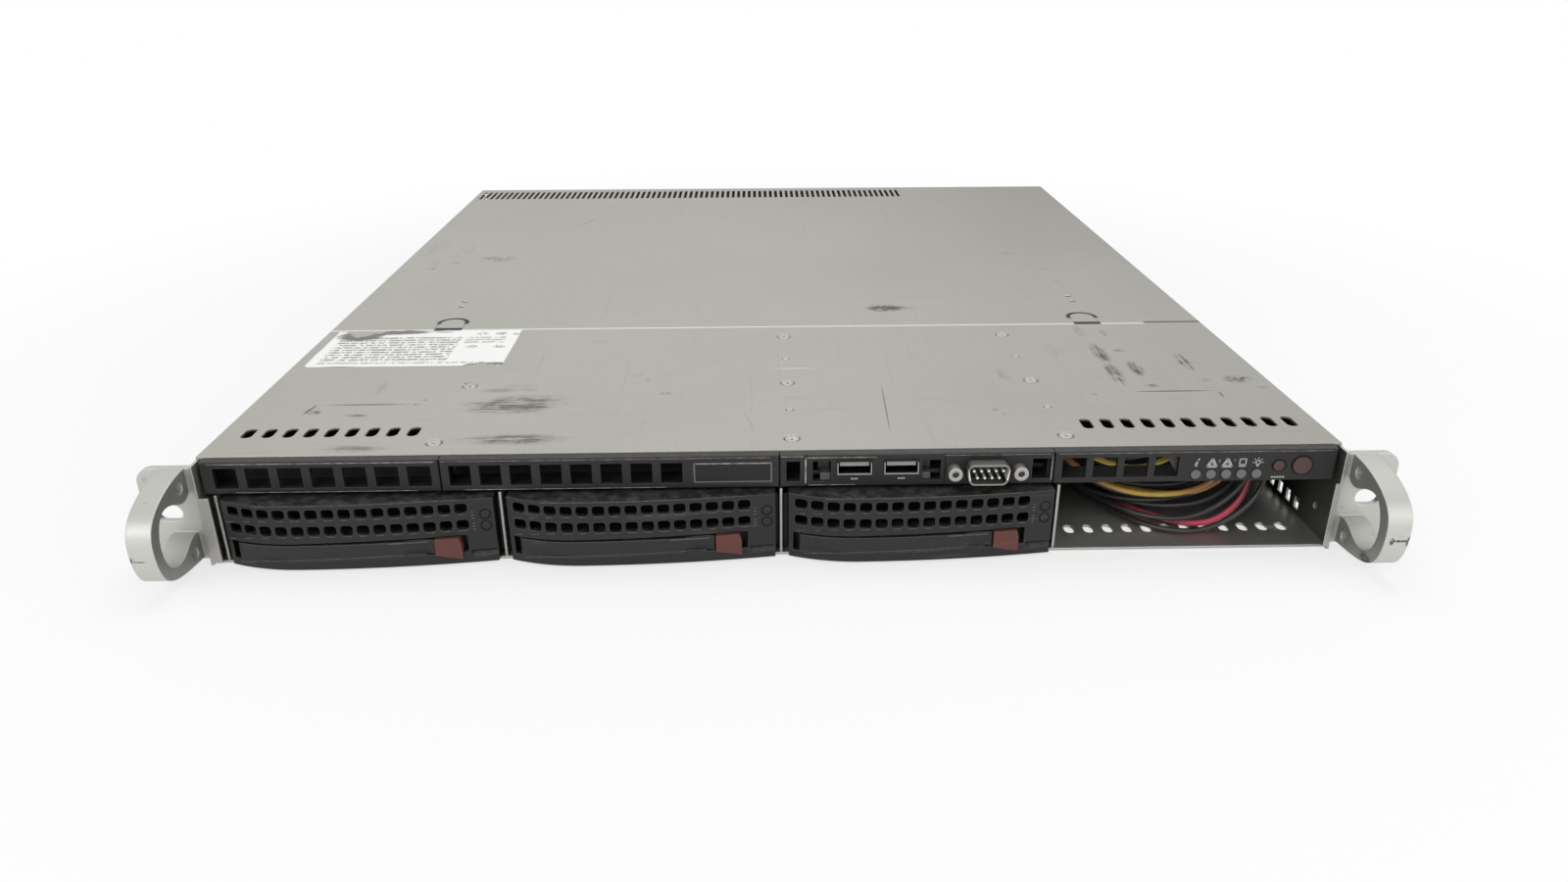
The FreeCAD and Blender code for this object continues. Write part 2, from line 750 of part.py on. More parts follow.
def control_board():
    """Board behind the controls, with its lights and two key switches soldered on."""
    low, high = bezel_bottom_z + bezel_wall + 0.2, top_under_z - bezel_wall - 0.2
    board = box(led_x - 4.5, control_right - bezel_wall - 0.3, control_board_y,
                control_board_y + board_thickness, low, high)
    lights = [rod(led_radius, (led_x + i * led_pitch, bezel_face_y - 0.5, led_z),
                  (led_x + i * led_pitch, control_board_y, led_z)) for i in range(led_count)]
    switches = [box(x - 2, x + 2, control_board_y - 1.2, control_board_y, button_z - 2, button_z + 2)
                for x in (power_x, reset_x)]
    return [board] + lights + switches


def front_button(x, radius):
    """Push button with a retaining flange and a stem that reaches for its switch."""
    face = bezel_face_y - 0.3
    behind = bezel_face_y + bezel_plate + running_gap
    head = rod(radius, (x, face, button_z), (x, behind, button_z))
    flange = rod(radius + 0.9, (x, behind, button_z), (x, behind + 0.6, button_z))
    stem_end = control_board_y - 1.2 - button_travel - running_gap
    stem = rod(1.2, (x, behind, button_z), (x, stem_end, button_z))
    return join([head, flange, stem])


# ---------------------------------------------------------------- carriers
def front_y(x_left, x):
    """The bezel's front line at x: two arcs that meet level at the bulge."""
    bulge_x = x_left + bulge_from_left
    if x < bulge_x:
        span, rise = bulge_from_left - bezel_left, left_edge_y - bulge_y
    else:
        span, rise = bay_width - bezel_right - bulge_from_left, right_edge_y - bulge_y
    radius = (span * span + rise * rise) / (2 * rise)
    return bulge_y + radius - math.sqrt(radius * radius - (x - bulge_x) ** 2)


def arcs_between(x_left, x0, x2, back):
    """The bezel's front line from x0 to x2, moved back by a distance."""
    bulge_x = x_left + bulge_from_left
    edges = []
    for a, b in ((x0, min(bulge_x, x2)), (max(bulge_x, x0), x2)):
        if b - a < 1e-6:
            continue
        points = [Vector(x, front_y(x_left, x) + back, 0) for x in (a, (a + b) / 2, b)]
        edges.append(Part.Arc(*points).toShape())
    return edges


def band(x_left, x0, x2, back0, back1, z0, z1):
    """A solid between two parallels of the bezel's front line."""
    edges = arcs_between(x_left, x0, x2, back0) + arcs_between(x_left, x0, x2, back1)
    for x in (x0, x2):
        y = front_y(x_left, x)
        edges.append(line((x, y + back0, 0), (x, y + back1, 0)))
    return extrude_plan(edges, z0, z1)


def behind_line(x_left, x0, x2, back, y_end, z0, z1):
    """A solid from a parallel of the front line to a flat plane."""
    edges = arcs_between(x_left, x0, x2, back)
    y0, y2 = front_y(x_left, x0) + back, front_y(x_left, x2) + back
    edges += [line((x0, y0, 0), (x0, y_end, 0)), line((x0, y_end, 0), (x2, y_end, 0)),
              line((x2, y_end, 0), (x2, y2, 0))]
    return extrude_plan(edges, z0, z1)


def between_edges(x_left, low, high):
    """A prism across the pocket between two edges, each given at its left and right ends."""
    x0, x1 = x_left + pocket_left, x_left + pocket_right
    corners = [(x0, low[0]), (x1, low[1]), (x1, high[1]), (x0, high[0])]
    return extrude_front(corners, bulge_y - 6, carrier_bezel_depth)


def pivot_point(x_left):
    x = x_left + pivot_from_left
    return x, front_y(x_left, x) + lever_thickness / 2 - lever_proud


def carrier(bay):
    """Bezel with air holes, lever pocket and pin, on two rails that hold the drive."""
    x = bay_left_x(bay)
    x0, x2 = x + bezel_left, x + bay_width - bezel_right
    top = drive_top_z
    body = behind_line(x, x0, x2, 0, carrier_bezel_depth, skirt_bottom_z, top)
    tools = [behind_line(x, x0 + 1.6, x2 - 1.6, carrier_skin, carrier_bezel_depth + 1,
                         pocket_top_z[1] + pocket_roof, top - 1.6)]
    tools.append(box(x0 - 1, x2 + 1, tray_front_y - running_gap, carrier_bezel_depth + 1,
                     skirt_bottom_z - 1, carrier_bottom_z))
    for z in air_row_z:
        for i in range(air_hole_count):
            tools.append(round_window(x + air_hole_first + i * air_hole_pitch, bulge_y - 1,
                                      carrier_bezel_depth - 2, z, air_hole_width, air_hole_height, 1.3))
    pocket_end = x + pocket_right
    pocket = band(x, x + pocket_left, pocket_end, -2.0, pocket_depth,
                  pocket_bottom_z[0], pocket_top_z[1])
    tools.append(pocket.common(between_edges(x, pocket_bottom_z, pocket_top_z)))
    ledge_y = front_y(x, (pocket_end + x2) / 2)
    wedge = [(ledge_y - 4, ledge_z[0]), (ledge_y, ledge_z[0]),
             (ledge_y + ledge_depth, ledge_z[1]), (ledge_y - 4, ledge_z[1])]
    ledge = Part.Face(Part.Wire(polygon([(pocket_end + 0.6, y, z) for y, z in wedge])))
    tools.append(ledge.extrude(Vector(x2 + 1 - pocket_end, 0, 0)))
    light_x = x + light_from_left
    for z in light_z:
        y = front_y(x, light_x)
        ring = rod(light_radius, (light_x, y - 1, z), (light_x, y + light_groove_depth, z))
        core = rod(light_radius - light_groove_width, (light_x, y - 2, z), (light_x, y + 2, z))
        tools.append(ring.cut(core))
    bezel = cut(body, tools)
    px, py = pivot_point(x)
    solids = [bezel, rod(pin_radius, (px, py, pocket_bottom_z[0] - 1), (px, py, pocket_top_z[0] + 1))]
    rail_end = drive_rear_y + 8.0
    for inner, outer in ((x + side_gap + rail_thickness, x + side_gap),
                         (x + bay_width - side_gap - rail_thickness, x + bay_width - side_gap)):
        r0, r1 = sorted((inner, outer))
        rail = box(r0, r1, carrier_bezel_depth - 4, rail_end, carrier_bottom_z, top - 3)
        openings = [box(r0 - 1, r1 + 1, 40 + i * 36, 64 + i * 36, drive_bottom_z + 5, top - 8)
                    for i in range(3)]
        solids.append(cut(rail, openings))
    for y in (drive_front_y - 6, drive_front_y + 40, drive_rear_y - 12):
        solids.append(box(x + side_gap, x + bay_width - side_gap, y, y + 12,
                          carrier_bottom_z, drive_bottom_z))
    return join(solids)


def lever(bay):
    """Ejector lever that swings out about the pin at its left end."""
    x = bay_left_x(bay)
    px, py = pivot_point(x)
    z0, z1 = pocket_bottom_z[0], lever_top_z[1]
    arm = band(x, px, x + lever_right, -lever_proud, lever_thickness - lever_proud, z0, z1)
    end = rod(lever_thickness / 2, (px, py, z0), (px, py, z1))
    low = [z + running_gap for z in pocket_bottom_z]
    blank = join([arm, end]).common(between_edges(x, low, lever_top_z))
    bore = rod(pin_radius + pin_clearance, (px, py, z0 - 1), (px, py, z1 + 1))
    scoop_x = x + lever_right - scoop_from_end
    scoop_y = front_y(x, scoop_x) - lever_proud + scoop_depth - scoop_radius
    scoop = rod(scoop_radius, (scoop_x, scoop_y, z0 - 1), (scoop_x, scoop_y, z1 + 1))
    return cut(blank, [bore, scoop])


def release_button(bay):
    """Sprung tab that frees the lever's end when pushed to the right."""
    x = bay_left_x(bay)
    left, right = x + release_left, x + release_right
    lip = pocket_bottom_z[1] + running_gap
    body = band(x, left, right, -release_proud, pocket_depth - 0.4, lip, release_top_z)
    toe = band(x, left, right, -release_proud, -running_gap, release_toe_z[1], lip)
    corners = [(left, release_toe_z[0]), (right, release_toe_z[1]),
               (right, release_top_z - release_chamfer[1]),
               (right - release_chamfer[0], release_top_z), (left, release_top_z)]
    return join([body, toe]).common(extrude_front(corners, bulge_y - 4, bulge_y + 12))


def hard_drive(bay):
    """Drive casting with a raised lid and a connector notch at the rear."""
    x = bay_left_x(bay) + side_gap + rail_thickness
    rim_z = drive_top_z - 1.2
    body = box(x, x + drive_width, drive_front_y, drive_rear_y, drive_bottom_z, rim_z)
    lid = box(x + 3, x + drive_width - 3, drive_front_y + 4, drive_rear_y - 22, rim_z, drive_top_z)
    notch = box(x + 30, x + 74, drive_rear_y - 5, drive_rear_y + 1, drive_bottom_z - 1, drive_bottom_z + 5)
    return join([body, lid]).cut(notch)


def backplane():
    board = box(first_bay_left, wall_inner - right_fold_width - 0.3, backplane_y,
                backplane_y + board_thickness, floor_z + 2, shelf_z - 0.2)
    tools = []
    for bay in range(bay_count):
        x = bay_left_x(bay)
        for offset in (12.0, 76.0):
            tools.append(box(x + offset, x + offset + 18, backplane_y - 1, backplane_y + 3, 14, 25))
    return board.cut(Part.makeCompound(tools))


def backplane_connectors():
    solids = []
    for bay in range(carrier_count):
        x = bay_left_x(bay) + side_gap + rail_thickness
        block = box(x + 32, x + 72, drive_rear_y + running_gap, backplane_y,
                    drive_bottom_z + 1.5, drive_bottom_z + 8)
        slot = box(x + 34, x + 70, drive_rear_y - 1, drive_rear_y + 5,
                   drive_bottom_z + 3.6, drive_bottom_z + 5.4)
        solids.append(block.cut(slot))
    return solids


# ---------------------------------------------------------------- fans
fan_z = floor_z + fan_size / 2 + 0.2


def fan_x(index):
    return board_left + 35.0 + index * fan_pitch


def fan_frame(x, y, z, size):
    """Square frame with a round duct, a motor cup and four struts at the rear."""
    half = size / 2
    bolt = half - 4.0
    frame = box(x - half, x + half, y, y + fan_length, z - half, z + half)
    frame = frame.cut(rod(half - fan_wall, (x, y - 1, z), (x, y + fan_length + 1, z)))
    cup = rod(fan_hub_radius, (x, y + fan_length - 4, z), (x, y + fan_length, z))
    y1 = y + fan_length
    span = half - 0.6
    struts = [box(x - span, x + span, y1 - 2.5, y1, z - 1, z + 1),
              box(x - 1, x + 1, y1 - 2.5, y1, z - span, z + span)]
    holes = [rod(1.6, (x + a * bolt, y - 1, z + b * bolt), (x + a * bolt, y1 + 1, z + b * bolt))
             for a in (-1, 1) for b in (-1, 1)]
    return cut(join([frame, cup] + struts), holes)


def fan_rotor(x, y, z, size):
    """Hub with pitched blades, one running gap in front of the motor cup."""
    tip = size / 2 - fan_wall - blade_tip_gap
    y0, y1 = y + 3.0, y + fan_length - 4 - running_gap
    hub = rod(fan_hub_radius - 0.4, (x, y0, z), (x, y1, z))
    middle = (y0 + y1) / 2
    blades = []
    for i in range(blade_count):
        blade = box(x - 7.5, x + 7.5, middle - 0.6, middle + 0.6,
                    z + fan_hub_radius - 2, z + tip - 0.3)
        blade.rotate(Vector(x, middle, z), Vector(0, 0, 1), 38)
        blade.rotate(Vector(x, middle, z), Vector(0, 1, 0), i * 360.0 / blade_count)
        blades.append(blade)
    sweep = rod(tip, (x, y0, z), (x, y1, z))
    return join([hub] + [b.common(sweep) for b in blades])


# ---------------------------------------------------------------- board and supply
def motherboard():
    board = box(board_left, board_right, board_y, board_rear_y, board_bottom_z, board_top_z)
    holes = [rod(1.8, (x, y, board_bottom_z - 1), (x, y, board_top_z + 1)) for x, y in standoff_places()]
    return cut(board, holes)


def standoff_places():
    xs = (board_left + 8, (board_left + board_right) / 2, board_right - 8)
    ys = (board_y + 8, board_y + board_length / 2, board_rear_y - 30)
    return [(x, y) for x in xs for y in ys]


def board_standoffs():
    solids = [rod(3.0, (x, y, floor_z), (x, y, board_bottom_z)) for x, y in standoff_places()]
    solids += [join([rod(3.2, (x, y, board_top_z), (x, y, board_top_z + 1.6)),
                     rod(1.5, (x, y, board_bottom_z), (x, y, board_top_z + 0.5))])
               for x, y in standoff_places()]
    low = io_board_top_z - board_thickness
    for dx, dy in ((18, 60), (90, 60), (50, 20)):
        x, y = io_left + dx, bezel_face_y + dy
        solids.append(rod(2.0, (x, y, upper_z), (x, y, low)))
    return solids


def heatsink(x, y, width, length, height, fins):
    base = box(x, x + width, y, y + length, board_top_z + 3.0, board_top_z + 7.0)
    die = box(x + width * 0.3, x + width * 0.7, y + length * 0.3, y + length * 0.7,
              board_top_z, board_top_z + 3.0)
    pitch = (width - 1.0) / (fins - 1)
    blades = [box(x + i * pitch, x + i * pitch + 1.0, y, y + length,
                  board_top_z + 7.0, board_top_z + height) for i in range(fins)]
    return join([base, die] + blades)


processor_sink = 84.0        # square, over each processor
processor_sink_height = 27.0
processor_sink_fins = 20
processor_sink_y = 30.0      # behind the board's front edge
processor_sink_from_left = (62.0, 198.0)
bridge_sink = 40.0           # square, over the small chip at the rear
bridge_sink_height = 18.0
bridge_sink_fins = 10
bridge_sink_from_left = 130.0
bridge_sink_y = 150.0


def heatsinks():
    solids = [heatsink(board_left + offset, board_y + processor_sink_y, processor_sink,
                       processor_sink, processor_sink_height, processor_sink_fins)
              for offset in processor_sink_from_left]
    solids.append(heatsink(board_left + bridge_sink_from_left, board_y + bridge_sink_y, bridge_sink,
                           bridge_sink, bridge_sink_height, bridge_sink_fins))
    return solids


dimm_group_from_left = (12.0, 156.0)
dimm_pitch = 9.5
dimm_y = 6.0                 # behind the board's front edge
socket_width = 6.5
socket_length = 142.0
socket_height = 6.0
socket_end = 3.5
module_thickness = 1.3
module_seat = 2.0
module_height = 30.0
module_gap = 0.2


def memory():
    """Upright modules in their sockets, in two groups beside the processors."""
    solids = []
    per_group = dimm_count // 2
    for i in range(dimm_count):
        x = board_left + dimm_group_from_left[i // per_group] + (i % per_group) * dimm_pitch
        y = board_y + dimm_y
        middle = x + socket_width / 2
        half_slot = module_thickness / 2 + module_gap
        seat_z = board_top_z + module_seat
        slot = box(middle - half_slot, middle + half_slot, y + socket_end, y + socket_length - socket_end,
                   seat_z, board_top_z + socket_height + 1)
        body = box(x, x + socket_width, y, y + socket_length, board_top_z, board_top_z + socket_height)
        inset = socket_end + module_gap
        module = box(middle - module_thickness / 2, middle + module_thickness / 2,
                     y + inset, y + socket_length - inset, seat_z, seat_z + module_height)
        solids += [body.cut(slot), module]
    return solids


def rear_port_block(name, width, height, offset, depth):
    x = board_left + offset
    y1 = chassis_depth + (0.0 if name in ("serial", "video") else 0.4)
    block = box(x - width / 2, x + width / 2, y1 - depth, y1, board_top_z, board_top_z + height)
    if name in ("serial", "video"):
        return block
    mouths = []
    if name == "usb_pair":
        for z in (board_top_z + 1.0, board_top_z + 8.4):
            mouths.append(box(x - 6, x + 6, y1 - 9, y1 + 1, z + 2.6, z + 5.0))
    else:
        mouths.append(box(x - 6, x + 6, y1 - 12, y1 + 1, board_top_z + 3, board_top_z + 10.5))
    return cut(block, mouths)


def rear_port_blocks():
    return [rear_port_block(*port) for port in rear_ports]


def slot_cover():
    x1 = board_right - slot_cover_right_gap
    x0 = x1 - slot_cover_width
    plate = box(x0 - 3, x1 + 3, rear_panel_y - sheet, rear_panel_y,
                slot_cover_z - 3, slot_cover_z + slot_cover_height + 1)
    pad = box(x0 + 0.3, x1 - 0.3, rear_panel_y, chassis_depth,
              slot_cover_z + 0.3, slot_cover_z + slot_cover_height - 0.3)
    slots = [box(x0 + 6 + i * 9, x0 + 11 + i * 9, rear_panel_y - 2, chassis_depth + 1,
                 slot_cover_z + 4, slot_cover_z + 10) for i in range(8)]
    return cut(join([plate, pad]), slots)


inlet_from_right = 30.0
inlet_width = 27.0
inlet_height = 20.0
supply_fan_from_left = 26.0
supply_fan_z = (supply_bottom_z + supply_top_z) / 2


def psu_case():
    """Sheet case of the power supply, with its fan hole, inlet cut-out and front vents."""
    y0, y1 = chassis_depth - supply_length, chassis_depth
    case = box(supply_left, supply_right, y0, y1, supply_bottom_z, supply_top_z)
    cavity = box(supply_left + supply_wall, supply_right - supply_wall,
                 y0 + supply_wall, y1 - supply_wall,
                 supply_bottom_z + supply_wall, supply_top_z - supply_wall)
    fan = supply_left + supply_fan_from_left
    inlet = supply_right - inlet_from_right
    tools = [cavity,
             rod(supply_fan_size / 2 - fan_wall, (fan, y1 - 2, supply_fan_z), (fan, y1 + 1, supply_fan_z)),
             box(inlet - inlet_width / 2 - 0.2, inlet + inlet_width / 2 + 0.2, y1 - 2, y1 + 1,
                 supply_fan_z - inlet_height / 2 - 0.2, supply_fan_z + inlet_height / 2 + 0.2)]
    for i in range(9):
        tools.append(box(supply_left + 8 + i * 10, supply_left + 13 + i * 10, y0 - 1, y0 + 2, 8, 34))
    foot = box(supply_left, supply_right, y0, y1, floor_z, supply_bottom_z)
    guard_reach = supply_fan_size / 2 - 1
    guard = [box(fan - guard_reach, fan + guard_reach, y1 - supply_wall, y1,
                 supply_fan_z - 0.6, supply_fan_z + 0.6),
             box(fan - 0.6, fan + 0.6, y1 - supply_wall, y1,
                 supply_fan_z - guard_reach, supply_fan_z + guard_reach)]
    return join([cut(case, tools), foot] + guard)


def supply_fan_place():
    return (supply_left + supply_fan_from_left, chassis_depth - supply_wall - fan_length, supply_fan_z,
            supply_fan_size)


def ac_inlet():
    """Three-pin appliance inlet, its pins set back inside the mouth."""
    x = supply_right - inlet_from_right
    y1 = chassis_depth
    body = box(x - inlet_width / 2, x + inlet_width / 2, y1 - 24, y1,
               supply_fan_z - inlet_height / 2, supply_fan_z + inlet_height / 2)
    mouth = box(x - 12.3, x + 12.3, y1 - 18, y1 + 1, supply_fan_z - 8.0, supply_fan_z + 8.0)
    pins = [box(x + dx - 1, x + dx + 1, y1 - 18, y1 - 5, supply_fan_z + dz - 2, supply_fan_z + dz + 2)
            for dx, dz in ((-7, -2), (0, 2), (7, -2))]
    return join([body.cut(mouth)] + pins)


# ---------------------------------------------------------------- lid
def tab_outline(x, grow, z0, z1):
    """Release tab seen from above: straight at the seam, round at the rear."""
    radius = tab_width / 2 + grow
    y0 = cover_front_y + 0.4 - grow
    y1 = cover_front_y + 0.4 + tab_length - tab_width / 2
    return join([box(x - radius, x + radius, y0, y1, z0, z1), rod(radius, (x, y1, z0), (x, y1, z1))])


def top_cover():
    """Sliding rear part of the lid with side flanges, tab holes and rear vents."""
    solids = [box(-half_width, half_width, cover_front_y, chassis_depth, top_under_z, chassis_height)]
    for side in (-1, 1):
        outer_x = wall_inner - running_gap
        x0, x1 = sorted((side * outer_x, side * (outer_x - sheet)))
        solids.append(box(x0, x1, cover_front_y + 6, rear_panel_y - 4,
                          top_under_z - cover_flange_height, top_under_z))
    tools = [tab_outline(side * (half_width - tab_inset), running_gap, top_under_z - 1, chassis_height + 1)
             for side in (-1, 1)]
    x = -half_width + 5.0
    while x < supply_left - 9.0:
        tools.append(slot_y(x, chassis_depth - 21.0, top_under_z - 1, chassis_height + 1,
                            rear_vent_width, rear_vent_length))
        x += rear_vent_pitch
    return cut(join(solids), tools)


def release_tab(side):
    """Press tab that lies in the cover, with a keeper plate under its edge."""
    x = side * (half_width - tab_inset)
    keeper_top = top_under_z - running_gap
    face = tab_outline(x, 0, keeper_top, chassis_height)
    keeper = box(x - tab_width / 2 - 2.5, x + tab_width / 2 + 2.5, cover_front_y + 1,
                 cover_front_y + tab_length + 3, keeper_top - 0.8, keeper_top)
    return join([face, keeper])


# ---------------------------------------------------------------- loose wires in the empty bay
wire_thin = 2.2
wire_thick = 2.6
rear_plug_front_y = backplane_y - 6.0
rear_plug_x = (112.0, 143.0)
rear_plug_top_z = 38.0
front_plug_x = (172.0, 200.0)
front_plug_z = (33.0, 40.0)
front_plug_depth = 19.4

wire_routes = {
    "wire_yellow_low": (wire_thin, [
        (120, 166, 12), (120, 132, 12), (121, 96, 11), (127, 66, 10.5), (139, 42, 11),
        (154, 27, 13), (170, 21.5, 15.5), (180, 21.5, 21.5), (183, 22.5, 27.5), (183, 22.5, 33)]),
    "wire_red": (wire_thick, [
        (138, 166, 7), (138, 130, 7), (137, 98, 4.6), (138, 70, 3.2), (142, 48, 2.7),
        (151, 31, 2.7), (163, 21, 3), (174, 17.5, 3.5), (183, 17.5, 8.5), (189, 19, 16),
        (190, 20, 24.5), (190, 20, 33)]),
    "wire_black_high": (wire_thin, [
        (116, 166, 19), (116, 130, 19), (117, 98, 17), (121, 70, 15.5), (131, 44, 15.5),
        (146, 30, 16), (160, 27, 16.5), (172, 27.5, 19), (178, 28.5, 25.5), (178, 28.5, 33)]),
    "wire_black_middle": (wire_thin, [
        (132, 166, 13), (132, 132, 13), (131, 98, 10), (130, 70, 7.5), (135, 47, 6.5),
        (146, 31, 7), (160, 23, 9), (173, 21, 11.5), (183, 22.5, 17), (189, 26, 24.5),
        (189, 26, 33)]),
    "wire_black_low": (wire_thin, [
        (126, 166, 6), (126, 130, 6), (126, 98, 4), (128, 70, 2.8), (133, 48, 2.7),
        (141, 31, 2.7), (151, 18.5, 2.7), (162, 13, 2.7), (173, 12, 4), (183.5, 12.5, 9.5),
        (191.5, 14, 17), (196, 17.5, 25), (196, 17.5, 33)]),
    "wire_orange": (wire_thin, [
        (117, 166, 31), (117, 130, 31), (114.5, 92, 32), (113, 62, 33.5), (112.6, 40, 34),
        (114.5, 26.5, 32.5), (121, 20.5, 28), (131, 18, 22), (143, 17, 18.3), (156, 17, 17.3),
        (168, 17.5, 18.8), (177, 18, 24.5), (177, 18, 33)]),
    "wire_yellow_high": (wire_thin, [
        (124, 166, 34), (124, 130, 34), (121.5, 94, 35), (119, 64, 35.5), (119, 42, 34.5),
        (122.5, 28.5, 32.3), (132, 22, 29.5), (144, 20.5, 27.2), (155, 21.5, 30),
        (163, 22.5, 35), (172, 22.5, 35)]),
    "wire_black_top": (wire_thin, [
        (131, 166, 30), (131, 130, 30), (128, 96, 30), (126, 68, 29), (129, 46, 27.5),
        (139, 33, 26.3), (151, 30, 28), (161, 30, 34.5), (172, 30, 34.5)]),
}


def route_edges(points, bend_radii):
    """Straight runs joined by tangent arcs at every inner point of a route."""
    points = [Vector(*p) for p in points]
    edges, start = [], points[0]
    for i in range(1, len(points) - 1):
        back, ahead = points[i - 1] - points[i], points[i + 1] - points[i]
        run = min(back.Length, ahead.Length)
        back.normalize()
        ahead.normalize()
        half_turn = (math.pi - back.getAngle(ahead)) / 2
        reach = 0.45 * run
        bend_radii.append(reach / math.tan(half_turn))
        a, b = points[i] + back * reach, points[i] + ahead * reach
        centre_line = (back + ahead).normalize()
        middle = points[i] + centre_line * (bend_radii[-1] * (1 / math.cos(half_turn) - 1))
        edges += [Part.makeLine(start, a), Part.Arc(a, middle, b).toShape()]
        start = b
    return edges + [Part.makeLine(start, points[-1])]


def wire_tube(name, diameter, points):
    """One insulated wire along its route; prints its length and bend radii."""
    radii = []
    path = Part.Wire(route_edges(points, radii))
    start, ahead = Vector(*points[0]), Vector(*points[1]) - Vector(*points[0])
    ring = Part.Wire(Part.makeCircle(diameter / 2, start, ahead))
    tube = path.makePipeShell([ring], True, False)
    expected = math.pi * diameter ** 2 / 4 * path.Length
    print(name, "length %.1f" % path.Length, "volume ratio %.4f" % (tube.Volume / expected),
          "radii", ["%.1f" % r for r in radii])
    return tube


def wire_plugs():
    """Plug on the drive backplane and plug on the control board, where the wires end."""
    rear = box(rear_plug_x[0], rear_plug_x[1], rear_plug_front_y, backplane_y,
               floor_z + 2, rear_plug_top_z)
    front_y0 = control_board_y + board_thickness
    front = box(front_plug_x[0], front_plug_x[1], front_y0, front_y0 + front_plug_depth,
                front_plug_z[0], front_plug_z[1])
    return [rear, front]


# ---------------------------------------------------------------- export
def main():
    os.makedirs("parts", exist_ok=True)
    print("width %.2f height %.2f depth %.2f middle %.3f"
          % (chassis_width, chassis_height, chassis_depth, middle_y))
    save("chassis_tray", [chassis_tray()])
    save("rear_panel", [rear_panel()])
    save("drive_cage", [drive_cage()])
    save("front_top_plate", [front_top_plate()])
    save("plate_screws", plate_screws())
    save("label", [label_sheet()])
    ear = right_ear()
    save("ear_right", [ear])
    save("ear_left", [mirrored(ear)])
    save("ear_screws", ear_screws())
    save("optical_bay_blank", [optical_bay_blank()])
    save("centre_grille", [centre_grille()])
    save("badge_plate", [badge_plate()])
    save("io_bezel", [io_bezel()])
    save("usb_sockets", usb_sockets())
    save("serial_port", serial_port())
    save("jackscrews", jackscrews())
    save("io_board", io_board())
    save("control_bezel", [control_bezel()])
    save("control_board", control_board())
    save("power_button", [front_button(power_x, power_radius)])
    save("reset_button", [front_button(reset_x, reset_radius)])
    for bay in range(carrier_count):
        number = str(bay + 1)
        save("carrier_" + number, [carrier(bay)])
        save("lever_" + number, [lever(bay)])
        save("release_" + number, [release_button(bay)])
        save("hard_drive_" + number, [hard_drive(bay)])
    save("backplane", [backplane()] + backplane_connectors())
    places = [(fan_x(i), fans_y, fan_z, fan_size) for i in range(fan_count)]
    save("fan_frames", [fan_frame(*place) for place in places + [supply_fan_place()]])
    for i, place in enumerate(places):
        save("fan_rotor_" + str(i + 1), [fan_rotor(*place)])
    save("psu_fan_rotor", [fan_rotor(*supply_fan_place())])
    save("motherboard", [motherboard()])
    save("board_standoffs", board_standoffs())
    save("heatsinks", heatsinks())
    save("memory", memory())
    save("rear_ports", rear_port_blocks())
    save("slot_cover", [slot_cover()])
    save("psu_case", [psu_case()])
    save("ac_inlet", [ac_inlet()])
    save("top_cover", [top_cover()])
    save("release_tab_left", [release_tab(-1)])
    save("release_tab_right", [release_tab(1)])
    save("wire_plugs", wire_plugs())
    for name, (diameter, points) in wire_routes.items():
        save(name, [wire_tube(name, diameter, points)])


main()
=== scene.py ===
# %% [markdown]
# # A one-unit rack server
# The server is a flat steel box with a row of black plastic mouldings across its front.
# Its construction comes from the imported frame. This lesson gives each piece its finish,
# lays the loose wires in the empty bay, and models the small things that a viewer looks
# for: screws, printed marks, a torn label and a fan guard.

# %% Load the frame
import math

import bpy
import bmesh
from mathutils import Matrix, Vector


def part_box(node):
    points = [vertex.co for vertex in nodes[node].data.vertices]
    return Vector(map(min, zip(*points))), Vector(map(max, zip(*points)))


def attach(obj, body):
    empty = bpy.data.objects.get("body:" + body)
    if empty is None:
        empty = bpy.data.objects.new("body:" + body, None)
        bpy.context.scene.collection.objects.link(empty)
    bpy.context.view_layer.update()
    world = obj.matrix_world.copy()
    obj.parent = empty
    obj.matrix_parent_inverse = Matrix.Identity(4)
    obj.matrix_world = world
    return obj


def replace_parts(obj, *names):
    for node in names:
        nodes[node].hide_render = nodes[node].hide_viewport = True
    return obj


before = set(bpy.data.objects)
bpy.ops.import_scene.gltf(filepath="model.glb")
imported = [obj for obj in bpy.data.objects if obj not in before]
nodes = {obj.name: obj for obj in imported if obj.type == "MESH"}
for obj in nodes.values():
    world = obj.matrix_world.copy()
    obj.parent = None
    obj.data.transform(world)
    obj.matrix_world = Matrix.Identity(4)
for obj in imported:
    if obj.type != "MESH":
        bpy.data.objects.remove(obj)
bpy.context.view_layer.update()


# %% Helpers for placing things
mm = 0.001
front_datum = -0.23805       # the front datum plane lies this far ahead of the middle


def spot(x, y, z):
    """A point in metres, from millimetres across, behind the front datum, and up."""
    return Vector((x * mm, y * mm + front_datum, z * mm))


def new_object(name, data):
    """An object of the scene that holds the data."""
    made = bpy.data.objects.new(name, data)
    bpy.context.scene.collection.objects.link(made)
    return made


finishes = {}                # every finish of the lesson, by name


def add_mesh(name, mesh_or_bm, body, finish=None):
    """Turns a mesh or a bmesh into a finished piece that rides on a body."""
    mesh = mesh_or_bm
    if isinstance(mesh_or_bm, bmesh.types.BMesh):
        mesh = bpy.data.meshes.new(name)
        mesh_or_bm.to_mesh(mesh)
        mesh_or_bm.free()
    piece = new_object(name, mesh)
    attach(piece, body)
    if finish:
        mesh.materials.append(finishes[finish])
    return piece


def join(tree, value, socket):
    """Links a socket or a field to a socket, or writes a plain value there."""
    value = getattr(value, "socket", value)
    if isinstance(value, bpy.types.NodeSocket):
        tree.links.new(value, socket)
    else:
        socket.default_value = value


